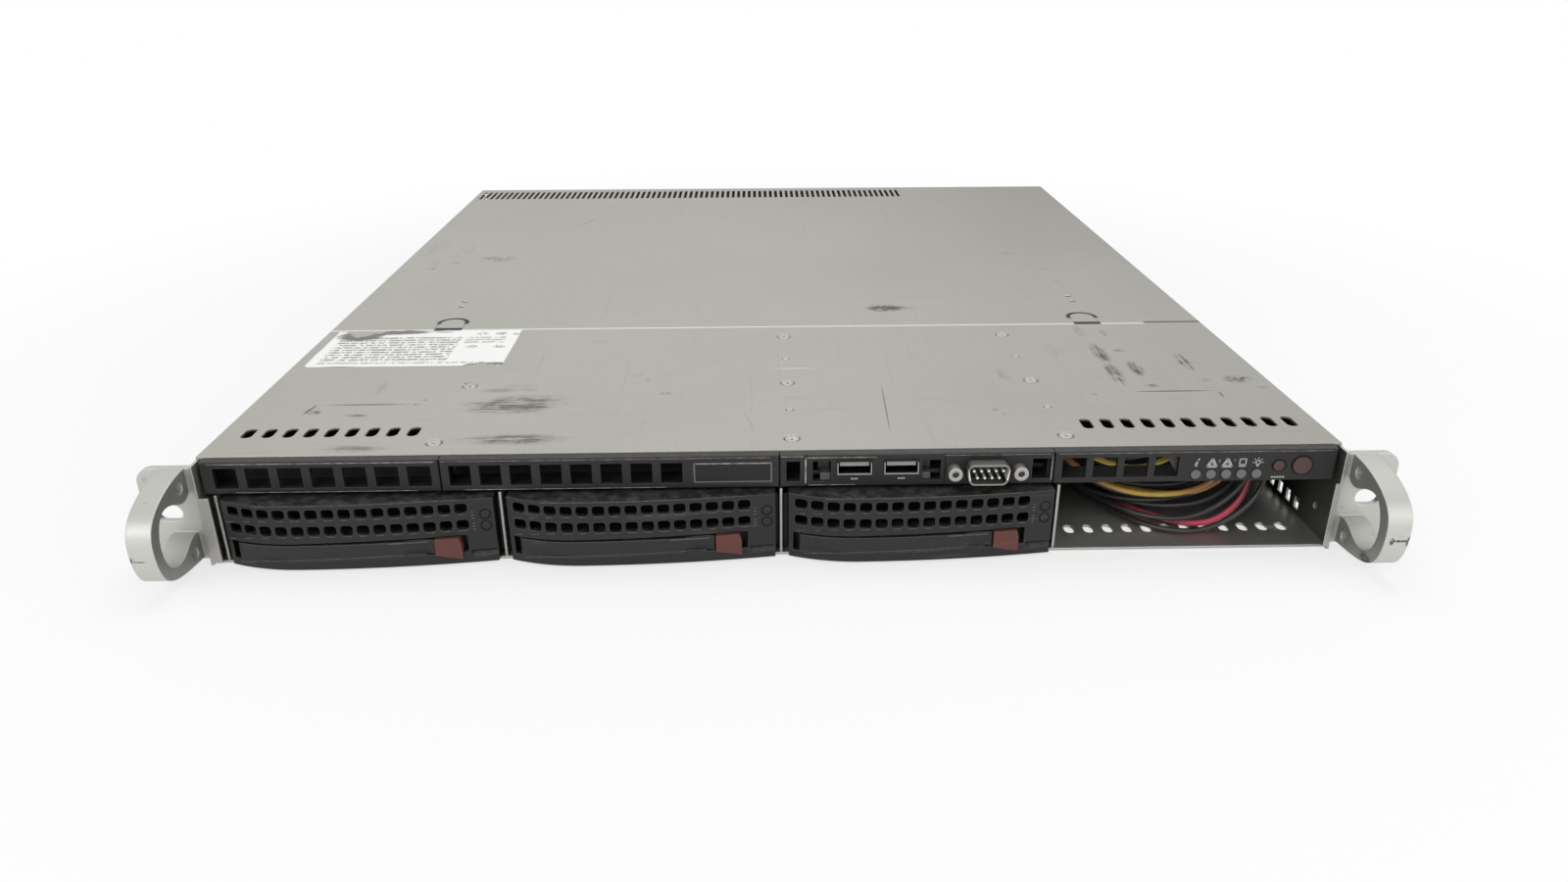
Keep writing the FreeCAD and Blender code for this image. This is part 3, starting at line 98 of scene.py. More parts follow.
def add_node(tree, kind, sockets=None, **settings):
    """Adds a node: its settings first, then the values or links of its sockets."""
    new = tree.nodes.new(kind)
    for key, value in settings.items():
        setattr(new, key, value)
    for key, value in (sockets or {}).items():
        join(tree, value, new.inputs[key])
    return new


# %% [markdown]
# ## Camera
# The view is a low three-quarter look down on the front, through a wide lens. The camera
# is placed by a turn about the upright axis, a tilt down, and a very small lean. A
# matrix product says this in the order in which a person would turn a tripod head.

# %% Camera
camera_data = bpy.data.cameras.new("camera")
camera_data.sensor_width = 36.0
camera_data.lens = 25.69
camera_data.clip_start = 0.01
camera = new_object("camera", camera_data)
turn = Matrix.Rotation(math.radians(-1.471), 4, "Z")
tilt = Matrix.Rotation(math.radians(90 - 24.092), 4, "X")
lean = Matrix.Rotation(math.radians(-0.106), 4, "Z")
camera.matrix_world = Matrix.Translation((-0.00677, -0.61722, 0.22020)) @ turn @ tilt @ lean
bpy.context.scene.camera = camera
print("camera at", [round(v, 3) for v in camera.matrix_world.translation])

# %% [markdown]
# ## Floor and light
# Product pictures use a pale sweep and large soft lamps. The floor is a wide plane, and
# the world is white for camera, mirror and glass rays but dimmer for the light that
# falls on the server. So the backdrop is white, while the steel keeps its own grey. The
# floor's paint turns into that same white further out, and keeps a soft shadow near by.

# %% Floor and world
floor_reach = 8.0
floor_level = -0.0002        # just under the server's feet
floor_mesh = bpy.data.meshes.new("floor")
floor_mesh.from_pydata([(x * floor_reach, y * floor_reach, floor_level) for x, y in
                        ((-1, -1), (1, -1), (1, 1), (-1, 1))], [], [(0, 1, 2, 3)])
new_object("floor", floor_mesh)

world = bpy.data.worlds.new("studio")
world.use_nodes = True
bpy.context.scene.world = world
sky = world.node_tree
sky.nodes.clear()
rays = add_node(sky, "ShaderNodeLightPath").outputs
seen = rays["Is Camera Ray"]
for other in ("Is Transmission Ray", "Is Glossy Ray"):
    larger = add_node(sky, "ShaderNodeMath", {0: seen, 1: rays[other]}, operation="MAXIMUM")
    seen = larger.outputs[0]
room = add_node(sky, "ShaderNodeBackground", {"Color": (0.94, 0.97, 1.0, 1), "Strength": 0.45})
backdrop = add_node(sky, "ShaderNodeBackground", {"Color": (1, 1, 1, 1), "Strength": 1.0})
either = add_node(sky, "ShaderNodeMixShader",
                  {"Fac": seen, 1: room.outputs[0], 2: backdrop.outputs[0]})
add_node(sky, "ShaderNodeOutputWorld", {"Surface": either.outputs[0]})


def lamp(name, place, aim, width, height, watts):
    """A soft rectangular lamp that looks at a point."""
    light = bpy.data.lights.new(name, "AREA")
    light.shape = "RECTANGLE"
    light.size, light.size_y, light.energy = width, height, watts
    turn_to_aim = (Vector(aim) - Vector(place)).to_track_quat("-Z", "Y").to_matrix().to_4x4()
    new_object(name, light).matrix_world = Matrix.Translation(place) @ turn_to_aim


lamp("lamp_over", (0.1, 0.35, 1.5), (0, 0.0, 0), 1.6, 1.2, 11)
lamp("lamp_front", (-0.7, -1.3, 0.9), (0, -0.1, 0), 1.2, 0.8, 9)
lamp("lamp_right", (1.1, -0.9, 0.6), (0.2, -0.2, 0), 0.8, 0.8, 5)
bpy.context.scene.view_settings.view_transform = "Standard"

# %% [markdown]
# ## Loose wires
# Eight insulated wires hang out of the drive backplane into the empty bay, sweep to the
# right in slack bundles and rise to the control board. Each is a smooth NURBS line
# through a short list of guide points, with a round bevel. A curve keeps the wire's real
# length easy to measure, and its bends stay soft.

# %% Wires
thin_wire = 2.2 * mm
thick_wire = 2.6 * mm
wires = {                    # diameter, length, colour, guide points in millimetres
    "wire_yellow_low": (thin_wire, 0.1887, "yellow", [
        (120, 166, 12), (120, 132, 12), (121, 96, 11), (127, 66, 10.5), (139, 42, 11),
        (154, 27, 13), (170, 21.5, 15.5), (180, 21.5, 21.5), (183, 22.5, 27.5), (183, 22.5, 33)]),
    "wire_red": (thick_wire, 0.2010, "red", [
        (138, 166, 7), (138, 130, 7), (137, 98, 4.6), (138, 70, 3.2), (142, 48, 2.7),
        (151, 31, 2.7), (163, 21, 3), (174, 17.5, 3.5), (183, 17.5, 8.5), (189, 19, 16),
        (190, 20, 24.5), (190, 20, 33)]),
    "wire_black_high": (thin_wire, 0.1863, "black", [
        (116, 166, 19), (116, 130, 19), (117, 98, 17), (121, 70, 15.5), (131, 44, 15.5),
        (146, 30, 16), (160, 27, 16.5), (172, 27.5, 19), (178, 28.5, 25.5), (178, 28.5, 33)]),
    "wire_black_middle": (thin_wire, 0.1977, "black", [
        (132, 166, 13), (132, 132, 13), (131, 98, 10), (130, 70, 7.5), (135, 47, 6.5),
        (146, 31, 7), (160, 23, 9), (173, 21, 11.5), (183, 22.5, 17), (189, 26, 24.5),
        (189, 26, 33)]),
    "wire_black_low": (thin_wire, 0.2167, "black", [
        (126, 166, 6), (126, 130, 6), (126, 98, 4), (128, 70, 2.8), (133, 48, 2.7), (141, 31, 2.7),
        (151, 18.5, 2.7), (162, 13, 2.7), (173, 12, 4), (183.5, 12.5, 9.5), (191.5, 14, 17),
        (196, 17.5, 25), (196, 17.5, 33)]),
    "wire_orange": (thin_wire, 0.2171, "orange", [
        (117, 166, 31), (117, 130, 31), (114.5, 92, 32), (113, 62, 33.5), (112.6, 40, 34),
        (114.5, 26.5, 32.5), (121, 20.5, 28), (131, 18, 22), (143, 17, 18.3), (156, 17, 17.3),
        (168, 17.5, 18.8), (177, 18, 24.5), (177, 18, 33)]),
    "wire_yellow_high": (thin_wire, 0.1911, "yellow", [
        (124, 166, 34), (124, 130, 34), (121.5, 94, 35), (119, 64, 35.5), (119, 42, 34.5),
        (122.5, 28.5, 32.3), (132, 22, 29.5), (144, 20.5, 27.2), (155, 21.5, 30), (163, 22.5, 35),
        (172, 22.5, 35)]),
    "wire_black_top": (thin_wire, 0.1709, "black", [
        (131, 166, 30), (131, 130, 30), (128, 96, 30), (126, 68, 29), (129, 46, 27.5),
        (139, 33, 26.3), (151, 30, 28), (161, 30, 34.5), (172, 30, 34.5)]),
}


def lay_wire(node):
    """One wire as a beveled NURBS curve along its guide points."""
    diameter, length, colour, points = wires[node]
    curve = bpy.data.curves.new("loose_" + node, "CURVE")
    curve.dimensions = "3D"
    curve.bevel_depth = 1.0      # each point's own radius makes the thickness
    curve.bevel_resolution = 4
    curve.resolution_u = 10
    curve.use_fill_caps = True
    line = curve.splines.new("NURBS")
    line.points.add(len(points) - 1)
    for guide, point in zip(line.points, points):
        guide.co = (*spot(*point), 1)
        guide.radius = diameter / 2
    line.order_u = 3
    line.use_endpoint_u = True
    piece = new_object("loose_" + node, curve)
    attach(piece, "chassis")
    return piece


wire_pieces = {}
for node in wires:
    wire_pieces[node] = lay_wire(node)
    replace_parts(wire_pieces[node], node)
print("laid", len(wire_pieces), "wires")

# %% [markdown]
# The bundle holds more dark wires than the frame has room to list. Each of them follows
# one of the wires above, a few millimetres away, as wires do when they are tied together.

# %% Wires that lie along the others
followers = [      # the wire that it follows, how far away it lies, and its own length
    ("black_high", (0, -1.0, 3.2), 0.1838), ("black_high", (4.5, 3.0, -2.0), 0.1848),
    ("black_middle", (-3.0, 1.0, 3.6), 0.1928), ("black_middle", (-7.5, 3.2, 1.0), 0.1931),
    ("yellow_low", (-3.5, 4.5, 4.5), 0.1794), ("black_top", (-4.0, 6.0, -3.5), 0.1654),
    ("black_low", (-4.5, 4.0, 3.6), 0.2089), ("orange", (1.0, 6.2, -3.5), 0.2136)]
for count, (leader, shift, length) in enumerate(followers, start=1):
    leader_points = wires["wire_" + leader][3]
    route = [tuple(a + b for a, b in zip(point, shift)) for point in leader_points]
    route[0] = (route[0][0], leader_points[0][1], route[0][2])       # leaves the same board
    route[-1] = (*route[-1][:2], leader_points[-1][2])               # ends at the same height
    name = "wire_follower_" + str(count)
    wires[name] = (thin_wire, length, "black", route)
    wire_pieces[name] = lay_wire(name)
print("with the wires that follow them:", len(wire_pieces))

# %% [markdown]
# ## Writing materials as sums
# A finish is a recipe such as "steel, a little darker where the grain is coarse". The
# class below lets a recipe be written as ordinary sums: a Field is a number that varies
# over a surface, and adding two Fields adds a Math node to the material.


# %% Material maths
def operator(operation, swapped=False):
    """A method of a field that adds one Math node."""
    def method(self, other):
        pair = (other, self) if swapped else (self, other)
        return self.finish.node("Math", dict(enumerate(pair)), operation=operation)
    return method


class Field:
    """A value that varies over a surface."""

    def __init__(self, finish, socket):
        self.finish = finish
        self.socket = socket

    __add__ = __radd__ = operator("ADD")
    __mul__ = __rmul__ = operator("MULTIPLY")
    __sub__ = operator("SUBTRACT")
    __rsub__ = operator("SUBTRACT", swapped=True)
    __truediv__ = operator("DIVIDE")
    either = operator("MAXIMUM")

    def step(self, low, high):
        """A soft step from 0 at low to 1 at high."""
        return self.finish.node("MapRange", {"Value": self, "From Min": low, "From Max": high},
                                interpolation_type="SMOOTHSTEP")


class Finish:
    """One material, with the fields that its recipe may use."""

    def __init__(self, name, metallic=0.0, specular=0.5):
        self.material = finishes[name] = bpy.data.materials.new(name)
        self.material.use_nodes = True
        self.tree = self.material.node_tree
        self.shader = self.tree.nodes["Principled BSDF"]
        self.shader.inputs["Metallic"].default_value = metallic
        self.shader.inputs["Specular IOR Level"].default_value = specular
        self.place = self.node("TexCoord", output="Object")
        self.x, self.y, self.z = self.parts(self.place)

    def node(self, kind, sockets=None, output=0, **settings):
        """Adds a node of that kind, and gives one of its outputs as a field."""
        new = add_node(self.tree, "ShaderNode" + kind, sockets, **settings)
        return Field(self, new.outputs[output])

    def parts(self, vector):
        """The x, y and z of a vector field."""
        split = add_node(self.tree, "ShaderNodeSeparateXYZ", {0: vector})
        return [Field(self, socket) for socket in split.outputs]

    def depth(self):
        """How far a point lies behind the front datum."""
        return self.y - front_datum

    def noise(self, scale, detail=2.0, roughness=0.5, stretch=(1, 1, 1), turn=0.0, shift=0.0):
        """Cloudy noise between 0 and 1; stretch draws it out along the short axes."""
        place = self.node("Mapping", {"Vector": self.place, "Rotation": (0, 0, turn),
                                      "Location": (shift, shift, shift), "Scale": stretch})
        return self.node("TexNoise", {"Vector": place, "Scale": scale, "Detail": detail,
                                      "Roughness": roughness})

    def mix(self, factor, first, second):
        """A colour between two, by a field."""
        first, second = ((*c, 1) if isinstance(c, tuple) else c for c in (first, second))
        return self.node("Mix", {0: factor, 6: first, 7: second}, output=2, data_type="RGBA")

    def over(self, base, *layers):
        """Lays colours over a base, each by its own field."""
        for share, colour in layers:
            base = self.mix(share, base, colour)
        return base

    def shaded(self, tone, colour):
        """A colour times a field."""
        return self.mix(tone, (0, 0, 0), colour)

    def length(self, vector):
        return self.node("VectorMath", {0: vector}, output="Value", operation="LENGTH")

    def oval(self, middle, half, turn=0.0):
        """The distance from a place, which reaches 1 on an oval round it."""
        place = self.node("Mapping", {"Vector": self.place, "Location": middle,
                                      "Rotation": (0, 0, turn), "Scale": half},
                          vector_type="TEXTURE")
        return self.length(place)

    def blot(self, middle, half, turn=0.0, soft=0.75):
        """A soft oval mark in space, 1 in its middle and 0 outside."""
        return self.oval(middle, half, turn).step(1.0, 1.0 - soft)

    def patch(self, x, y, half_x, half_y, turn=0.0, soft=0.7):
        """The same on the top, whatever the height, in millimetres."""
        return self.blot((x * mm, y * mm, 0), (half_x * mm, half_y * mm, 1), turn, soft)

    def near(self, marks_of, squeeze):
        """A sum of oval marks on the top, in millimetres, drawn out by the same shares."""
        shares = (squeeze[0] / mm, squeeze[1] / mm, 0)
        space = self.node("VectorMath", {0: self.place, 1: shares}, operation="MULTIPLY")
        answer = 0.0
        for x, y, reach, strength in marks_of:
            middle = (x * squeeze[0], y * squeeze[1], 0)
            distance = self.node("VectorMath", {0: space, 1: middle}, output="Value",
                                 operation="DISTANCE")
            answer = distance.step(reach, reach * 0.3) * strength + answer
        return answer

    def ring(self, x, y, radius, width):
        """A round line on the top, in millimetres."""
        distance = self.oval((x * mm, y * mm, 0), (radius * mm, radius * mm, 1))
        share = width / radius
        return 1 - self.size_of(distance - 1).step(share * 0.35, share * 0.65)

    def size_of(self, value):
        return self.node("Math", {0: value}, operation="ABSOLUTE")

    def band(self, axis, low, high, soft=0.0002):
        """1 between two places along an axis."""
        return axis.step(low - soft, low + soft) * (1 - axis.step(high - soft, high + soft))

    def within(self, axis, middle, half):
        """1 where an axis lies close to a place."""
        return 1 - self.size_of(axis - middle).step(half * 0.96, half * 1.04)

    def stroke(self, x0, y0, x1, y1, width):
        """A straight scratch between two points on the top, in millimetres."""
        length = math.hypot(x1 - x0, y1 - y0)
        turn = math.atan2(y1 - y0, x1 - x0)
        return self.patch((x0 + x1) / 2, (y0 + y1) / 2, length / 2, width / 2, turn, 0.6)

    def edges(self, radius):
        """The normal of slightly rounded edges, and a field along them for painted highlights."""
        rounded = self.node("Bevel", {"Radius": radius}, samples=4)
        flat = self.node("NewGeometry", output="Normal")
        facing = self.node("VectorMath", {0: rounded, 1: flat}, output="Value",
                           operation="DOT_PRODUCT")
        return rounded, (1.0 - facing).step(0.01, 0.25)

    def facing(self, axis):
        """How much a surface faces along an axis: 0 for x, 1 for y, 2 for z."""
        return self.parts(self.node("NewGeometry", output="Normal"))[axis]

    def done(self, colour, roughness, relief=None, depth=0.0001, strength=1.0, normal=None):
        """Joins the recipe to the shader."""
        given = {"Base Color": colour, "Roughness": roughness}
        if relief is not None:
            sockets = {"Height": relief, "Distance": depth, "Strength": strength}
            if normal is not None:
                sockets["Normal"] = normal
            given["Normal"] = self.node("Bump", sockets)
        for key, value in given.items():
            join(self.tree, value, self.shader.inputs[key])
        print("finish", self.material.name, "has", len(self.tree.nodes), "nodes")


def total(fields):
    """Adds up fields as they are made."""
    answer = 0.0
    for field in fields:
        answer = field + answer
    return answer


# %% [markdown]
# ## Lid steel
# The lid is bare zinc-coated steel. It is scuffed by years of sliding in and out of a
# rack: soft dark rubs, thin straight scratches, and a faint grain from rolling. Each rub
# is an oval patch broken up by noise, so that it looks smeared and not painted.

# %% Marks on the lid
streaks = [      # middle x, y and half length in millimetres, and strength
    (-108, -180, 30, 0.8), (-104, -173, 24, 0.45), (-112, -186, 26, 0.6), (-112, -164, 22, 0.42),
    (-110, -158, 16, 0.32), (-102, -216.5, 30, 0.75), (-162, -223.5, 18, 0.6),
    (-172, -190.5, 9, 0.7), (62, -51, 22, 0.5)]
drags = [      # the same, for marks drawn out from front to rear
    (153.5, -92, 13, 0.6), (154.5, -124, 18, 0.85), (153.5, -152, 19, 0.85), (164.3, -96, 8, 0.65),
    (164.8, -145, 14, 1.15), (189.5, -137, 16, 0.8), (-201, 45, 22, 0.28), (-188, 75, 30, 0.22),
    (103, -152, 13, 0.34), (133, -120, 16, 0.22), (-170, -160, 13, 0.28), (-208, 85, 35, 0.22)]
blots = [      # the same, for marks without a direction
    (61, -51, 12.5, 0.85), (-162, 56, 14, 0.5), (-170, 60, 8, 0.4), (164.5, -121, 4.5, 0.7),
    (165.6, -166.5, 4.2, 0.75), (190.2, -161, 5, 0.5), (206, -160, 10, 0.85),
    (213, -170, 3.6, 0.6), (-133, -155, 3.6, 0.85), (-190, -186.5, 5.5, 0.8),
    (-149.4, -179, 2.2, 0.8), (-147.2, -174, 1.8, 0.6), (-60, -147, 4.2, 0.45),
    (-55, -153, 2, 0.6), (-47, -169, 4.4, 0.55), (-83, -100, 6, 0.26), (150, 60, 8, 0.3),
    (163, 23, 5.5, 0.48), (164, -5, 4.8, 0.42), (-197.5, 35, 3, 0.6), (-188, 49, 5, 0.5),
    (137, -176, 2.8, 0.5), (91.5, -192, 2.8, 0.45), (95, -197, 2.8, 0.45)]
level_scratches = [      # the same, for thin level lines
    (-170, -178.6, 23.5, 0.9), (172.5, -173.5, 23.5, 1), (8, -176, 9, 0.45), (107.5, -177, 5, 0.5),
    (170.5, -182.2, 6, 0.4), (25, -188.5, 16, 0.3)]
bright_scratches = [(10, -140.5, 14, 0.9)]
slanted = [      # ends and width in millimetres, and strength
    (-190.5, -177, -193.5, -189, 1.8, 0.7), (191.5, -172.8, 191.2, -183, 1.2, 0.7),
    (48, -151, 45, -226, 0.9, 0.62), (-131, 134, -113, 173, 1.6, 0.45),
    (-106.5, -101, -106, -153, 0.6, 0.28), (55, -177, 88, -184, 0.7, 0.3),
    (-13.5, -186, -7, -214, 0.7, 0.35)]
seam_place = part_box("top_cover")[0].y
tab_middle = 160.9
rivet_places = [(side * 163.2, y) for side in (-1, 1) for y in (-41.2, -32.5)]

# %% [markdown]
# Streaks need long thin grain along them, blots need grain without a direction. A
# coarser noise breaks both into islands, so that no oval outline can be seen. The fixed
# plate and the sliding cover each get their own recipe, with the marks that lie on them.


# %% Lid steel
def lid_steel(name, is_front):
    finish = Finish(name, metallic=0.72, specular=0.4)

    def mine(marks_of):
        """The marks that lie on this side of the seam."""
        return [mark for mark in marks_of if (mark[1] * mm < seam_place) == is_front]

    grain = finish.noise(900, 2, stretch=(0.06, 1, 1))
    cross_grain = finish.noise(700, 2, stretch=(1, 0.05, 1), shift=0.4)
    clouds = finish.noise(9, 3, 0.55)
    islands = finish.noise(170, 3, 0.6, shift=0.1).step(0.36, 0.62)
    across = finish.noise(700, 5, 0.7, stretch=(0.05, 1, 1), shift=0.3).step(0.38, 0.62)
    along = finish.noise(700, 5, 0.7, stretch=(1, 0.05, 1), shift=0.5).step(0.38, 0.62)
    fine = finish.noise(480, 6, 0.75, shift=0.8).step(0.38, 0.66)
    dark = finish.near(mine(level_scratches), (1, 28))
    dark = dark + total(finish.stroke(*mark[:5]) * mark[5] for mark in mine(slanted))
    for marks_of, squeeze, grain_of in ((streaks, (1, 4), across), (drags, (3.6, 1), along),
                                        (blots, (1, 1.4), fine)):
        dark = dark + finish.near(mine(marks_of), squeeze) * (grain_of * 0.80 + islands * 0.40)
    dark = dark.step(0.0, 1.0)
    bright = finish.near(mine(bright_scratches), (1, 30))
    hairs = finish.noise(260, 1, 0.4, stretch=(0.03, 1.6, 1), turn=0.25).step(0.66, 0.72)
    hairs = hairs + finish.noise(260, 1, 0.4, stretch=(1.6, 0.03, 1), turn=0.12).step(0.67, 0.73)
    spotty = finish.noise(120, 3, 0.6, shift=0.7).step(0.60, 0.80)
    on_top = finish.facing(2).step(0.5, 0.9)
    # A painted highlight along the lap at the seam, stopping short of its right end.
    lap_highlight = finish.band(finish.y, seam_place - 0.0022, seam_place - 0.0002) * on_top
    seam_right_end = finish.x.step(0.189, 0.1905)
    lap_dark = finish.band(finish.y, seam_place - 0.0006, seam_place + 0.0016) * seam_right_end
    # Dark outlines: painted shade in the slits beside the tabs and on the rivets, a dark ring
    # round each tab's lip, and a dark line along the seam's right end.
    outline_shade = lap_dark * 0.7
    for place in (-tab_middle, tab_middle):
        arc = finish.ring(place, seam_place / mm + 9.8, 7.0, 2.2)
        outline_shade = outline_shade + arc * finish.y.step(seam_place + 0.0072, seam_place + 0.0090)
        slit = finish.band(finish.x, (place - 6.8) * mm, (place + 6.8) * mm)
        outline_shade = outline_shade + slit * finish.band(finish.y, seam_place - 0.0022, seam_place + 0.0018)
    outline_shade = outline_shade + total(finish.patch(x, y, 2.2, 1.6, soft=0.5) for x, y in mine(rivet_places))
    outline_shade = outline_shade.step(0.0, 1.0)
    # Painted highlights on the rivets' lit sides.
    glints = total(finish.patch(x, y + 1.2, 1.6, 0.9, soft=0.5) for x, y in mine(rivet_places))
    tone = 0.85 + clouds * 0.15 + grain * 0.07 + cross_grain * 0.06
    right_shade = finish.x.step(-0.06, 0.24) * 0.15 + finish.y.step(-0.10, 0.26) * 0.08
    right_shade = right_shade + finish.x.step(0.05, 0.24) * finish.y.step(-0.10, 0.26) * 0.07
    base = finish.shaded(tone - right_shade, (0.372, 0.361, 0.327))
    rounded, edge = finish.edges(0.0006)
    # Painted highlight along the edges, joined with the bright scratches.
    base = finish.over(base, (hairs * 0.07 + spotty * 0.10, (0.19, 0.185, 0.17)),
                       (dark * 0.88, (0.050, 0.049, 0.047)),
                       ((bright + edge * 0.6).step(0.0, 1.0), (0.66, 0.65, 0.61)),
                       (lap_highlight * (1 - seam_right_end) * 0.62, (0.80, 0.79, 0.75)),
                       (outline_shade * 0.92, (0.030, 0.029, 0.028)), (glints * 0.8, (0.80, 0.79, 0.75)))
    rough = 0.44 + clouds * 0.10 + dark * 0.15 + outline_shade * 0.2
    finish.done(base, rough, grain + cross_grain - dark * 0.6, 0.00003, 0.35, rounded)


lid_steel("plate_steel", True)
lid_steel("cover_steel", False)


# %% [markdown]
# ## Bare steel, supply steel and screws
# The tray and the cage are the same sheet without the rubs. Zinc leaves soft crystal
# patches, which a Voronoi pattern with low contrast imitates. Edges get a painted
# highlight, and the tray's bay gets painted light and shade.


# %% Plain steels
def bay_light(finish):
    """Painted light and shade: lighter at the bay's front edge, darker on its walls and further
    in.
    """
    inside = finish.band(finish.x, 0.100, 0.2182, 0.0004)
    wall = (finish.facing(0) * -1).step(0.5, 0.9) * inside
    # Painted shade further into the bay.
    deep_shade = finish.depth().step(0.016, 0.055) * inside
    return 1 + finish.facing(2).step(0.5, 0.9) * inside * 1.15 - wall * 0.62 - deep_shade * 0.45


def plain_steel(name, colour, rough, spangle=0.10, metallic=0.8, more=None):
    finish = Finish(name, metallic=metallic, specular=0.4)
    crystals = finish.node("TexVoronoi", {"Vector": finish.place, "Scale": 130.0}, output="Color")
    tone = finish.node("SeparateColor", {0: crystals})
    grain = finish.noise(1100, 2, stretch=(0.08, 1, 1))
    clouds = finish.noise(14, 3, 0.6)
    shade = (1 - spangle) + tone * spangle + (clouds - 0.5) * 0.25 + (grain - 0.5) * 0.12
    if more:
        shade = shade * more(finish)
    base = finish.shaded(shade, colour)
    rounded, edge = finish.edges(0.0005)
    # Painted highlight along the edges.
    base = finish.mix(edge * 0.7, base, (0.82, 0.81, 0.78))
    if more:
        scuff = finish.patch(203.5, -219.5, 8.5, 3.0)
        scuff = scuff * finish.noise(420, 4, 0.7).step(0.38, 0.60)
        base = finish.mix(scuff, base, (0.90, 0.89, 0.86))
    finish.done(base, rough + clouds * 0.1, grain, 0.00002, 0.3, rounded)


for recipe in (("tray_steel", (0.46, 0.45, 0.42), 0.36, 0.10, 0.8, bay_light),
               ("supply_steel", (0.54, 0.54, 0.51), 0.36, 0.05),
               ("screw_steel", (0.42, 0.41, 0.38), 0.36, 0.02, 0.85),
               ("post_steel", (0.40, 0.39, 0.37), 0.34, 0.02, 0.85),
               ("port_steel", (0.50, 0.49, 0.47), 0.30, 0.02, 0.9)):
    plain_steel(*recipe)

# %% [markdown]
# A socket is one pressed shell with a tongue inside. Both come from the frame as one
# piece, so the recipe tells them apart by place: light at the rim, painted shade inside,
# and a grey tongue. The nine-pin plug works the same way, with light pins on a black body.

# %% Finishes for ports
usb_middles = (0.0299, 0.0478)
usb_level = 0.0374
serial_middle = 0.0803
serial_level = 0.0359


def usb_finish():
    finish = Finish("usb_finish", metallic=0.6, specular=0.4)
    cloud = finish.noise(500, 3, 0.6)
    # Painted shade: black deep inside the shell, and dark above the tongue.
    deep_shade = finish.depth().step(0.0040, 0.0048)
    tongue = finish.within(finish.z, usb_level + 0.0012, 0.00105)
    tongue = tongue * total(finish.within(finish.x, middle, 0.0058) for middle in usb_middles)
    upper_shade = finish.z.step(usb_level + 0.0019, usb_level + 0.0023)
    base = finish.over((0.46, 0.45, 0.43), (deep_shade, (0.012, 0.012, 0.012)),
                       (upper_shade, (0.05, 0.05, 0.05)), (tongue, (0.30, 0.295, 0.28)))
    rounded = finish.edges(0.0003)[0]
    finish.done(base, 0.34 + cloud * 0.1, cloud, 0.00002, 0.2, rounded)


def serial_finish():
    finish = Finish("serial_finish", metallic=0.55, specular=0.4)
    cloud = finish.noise(700, 3, 0.6)
    depth = finish.depth()
    inner = finish.within(finish.x, serial_middle, 0.0077)
    inner = inner * finish.within(finish.z, serial_level, 0.0033)
    pins = inner * finish.within(finish.z, serial_level, 0.0021) * (1 - depth.step(0.0031, 0.0034))
    body = inner * depth.step(-0.0012, -0.0006)
    rim = 1 - depth.step(-0.0013, -0.0010)
    base = finish.over((0.11, 0.108, 0.10), (cloud * 0.5, (0.16, 0.157, 0.15)),
                       (rim, (0.27, 0.265, 0.25)), (body, (0.008, 0.008, 0.008)),
                       (pins, (0.78, 0.76, 0.70)))
    rounded = finish.edges(0.0003)[0]
    finish.done(base, 0.36 + cloud * 0.1, cloud, 0.00002, 0.2, rounded)


usb_finish()
serial_finish()

# %% [markdown]
# ## Cast ears
# The ears and their loop handles are die-cast and sprayed silver: a fine sparkle of
# light and dark grains, worn to dark metal where hands and rails rub. Faces turned
# sideways or upwards get painted shade, and the edges a painted highlight.

# %% Ear metal
handle_front = -0.2645       # the loops' foremost plane
handle_wear = [              # middle and half size of each dark mark
    ((0.2247, handle_front, 0.0190), (0.0012, 0.006, 0.0022)),
    ((0.2310, handle_front, 0.0190), (0.0016, 0.006, 0.0030)),
    ((0.2278, handle_front, 0.0192), (0.0040, 0.006, 0.0008)),
    ((0.2240, -0.2550, 0.0066), (0.0060, 0.0070, 0.0036)),
    ((-0.2310, handle_front, 0.0186), (0.0009, 0.006, 0.0016)),
    ((-0.2280, handle_front, 0.0180), (0.0036, 0.006, 0.0004))]


def ear_metal():
    finish = Finish("ear_metal", metallic=0.55, specular=0.5)
    sparkle = finish.noise(2600, 2, 0.7)
    coarse = finish.noise(700, 3, 0.6, shift=0.2)
    clouds = finish.noise(25, 2)
    tone = 0.68 + sparkle * 0.40 + coarse * 0.22 + clouds * 0.08
    # Painted shade: faces turned sideways, and less so upwards, are darker.
    side_shade = finish.size_of(finish.facing(0)).step(0.45, 0.9)
    above = finish.facing(2).step(0.2, 0.8)
    rounded, edge = finish.edges(0.0009)
    scuffs = finish.noise(160, 4, 0.7, shift=0.6).step(0.62, 0.72)
    wear = total(finish.blot(middle, half) for middle, half in handle_wear)
    wear = wear * finish.noise(900, 4, 0.7, shift=0.9).step(0.34, 0.52)
    # The pale edge colour below is a painted highlight.
    base = finish.over(finish.shaded(tone, (0.58, 0.575, 0.54)),
                       (side_shade * 0.66 + above * 0.26, (0.085, 0.081, 0.074)),
                       (scuffs * 0.35, (0.20, 0.20, 0.19)), (edge * 0.35, (0.85, 0.85, 0.82)),
                       (wear.step(0.0, 0.8) * 0.9, (0.035, 0.034, 0.033)))
    finish.done(base, 0.40 + coarse * 0.15, sparkle, 0.00006, 0.5, rounded)


ear_metal()


# %% [markdown]
# ## Moulded plastics
# The bezels, carriers and levers are black plastic with a fine spark-eroded texture.
# Handling polishes the edges, and their lighter colour is partly that polish and partly
# a painted highlight. Up-facing ledges are lighter in patches, and the carriers' holes
# are painted dark inside as shade.


# %% Plastics
polish_and_highlight = (0.165, 0.16, 0.155)  # black plastic where hands polish it, also standing for a painted edge highlight
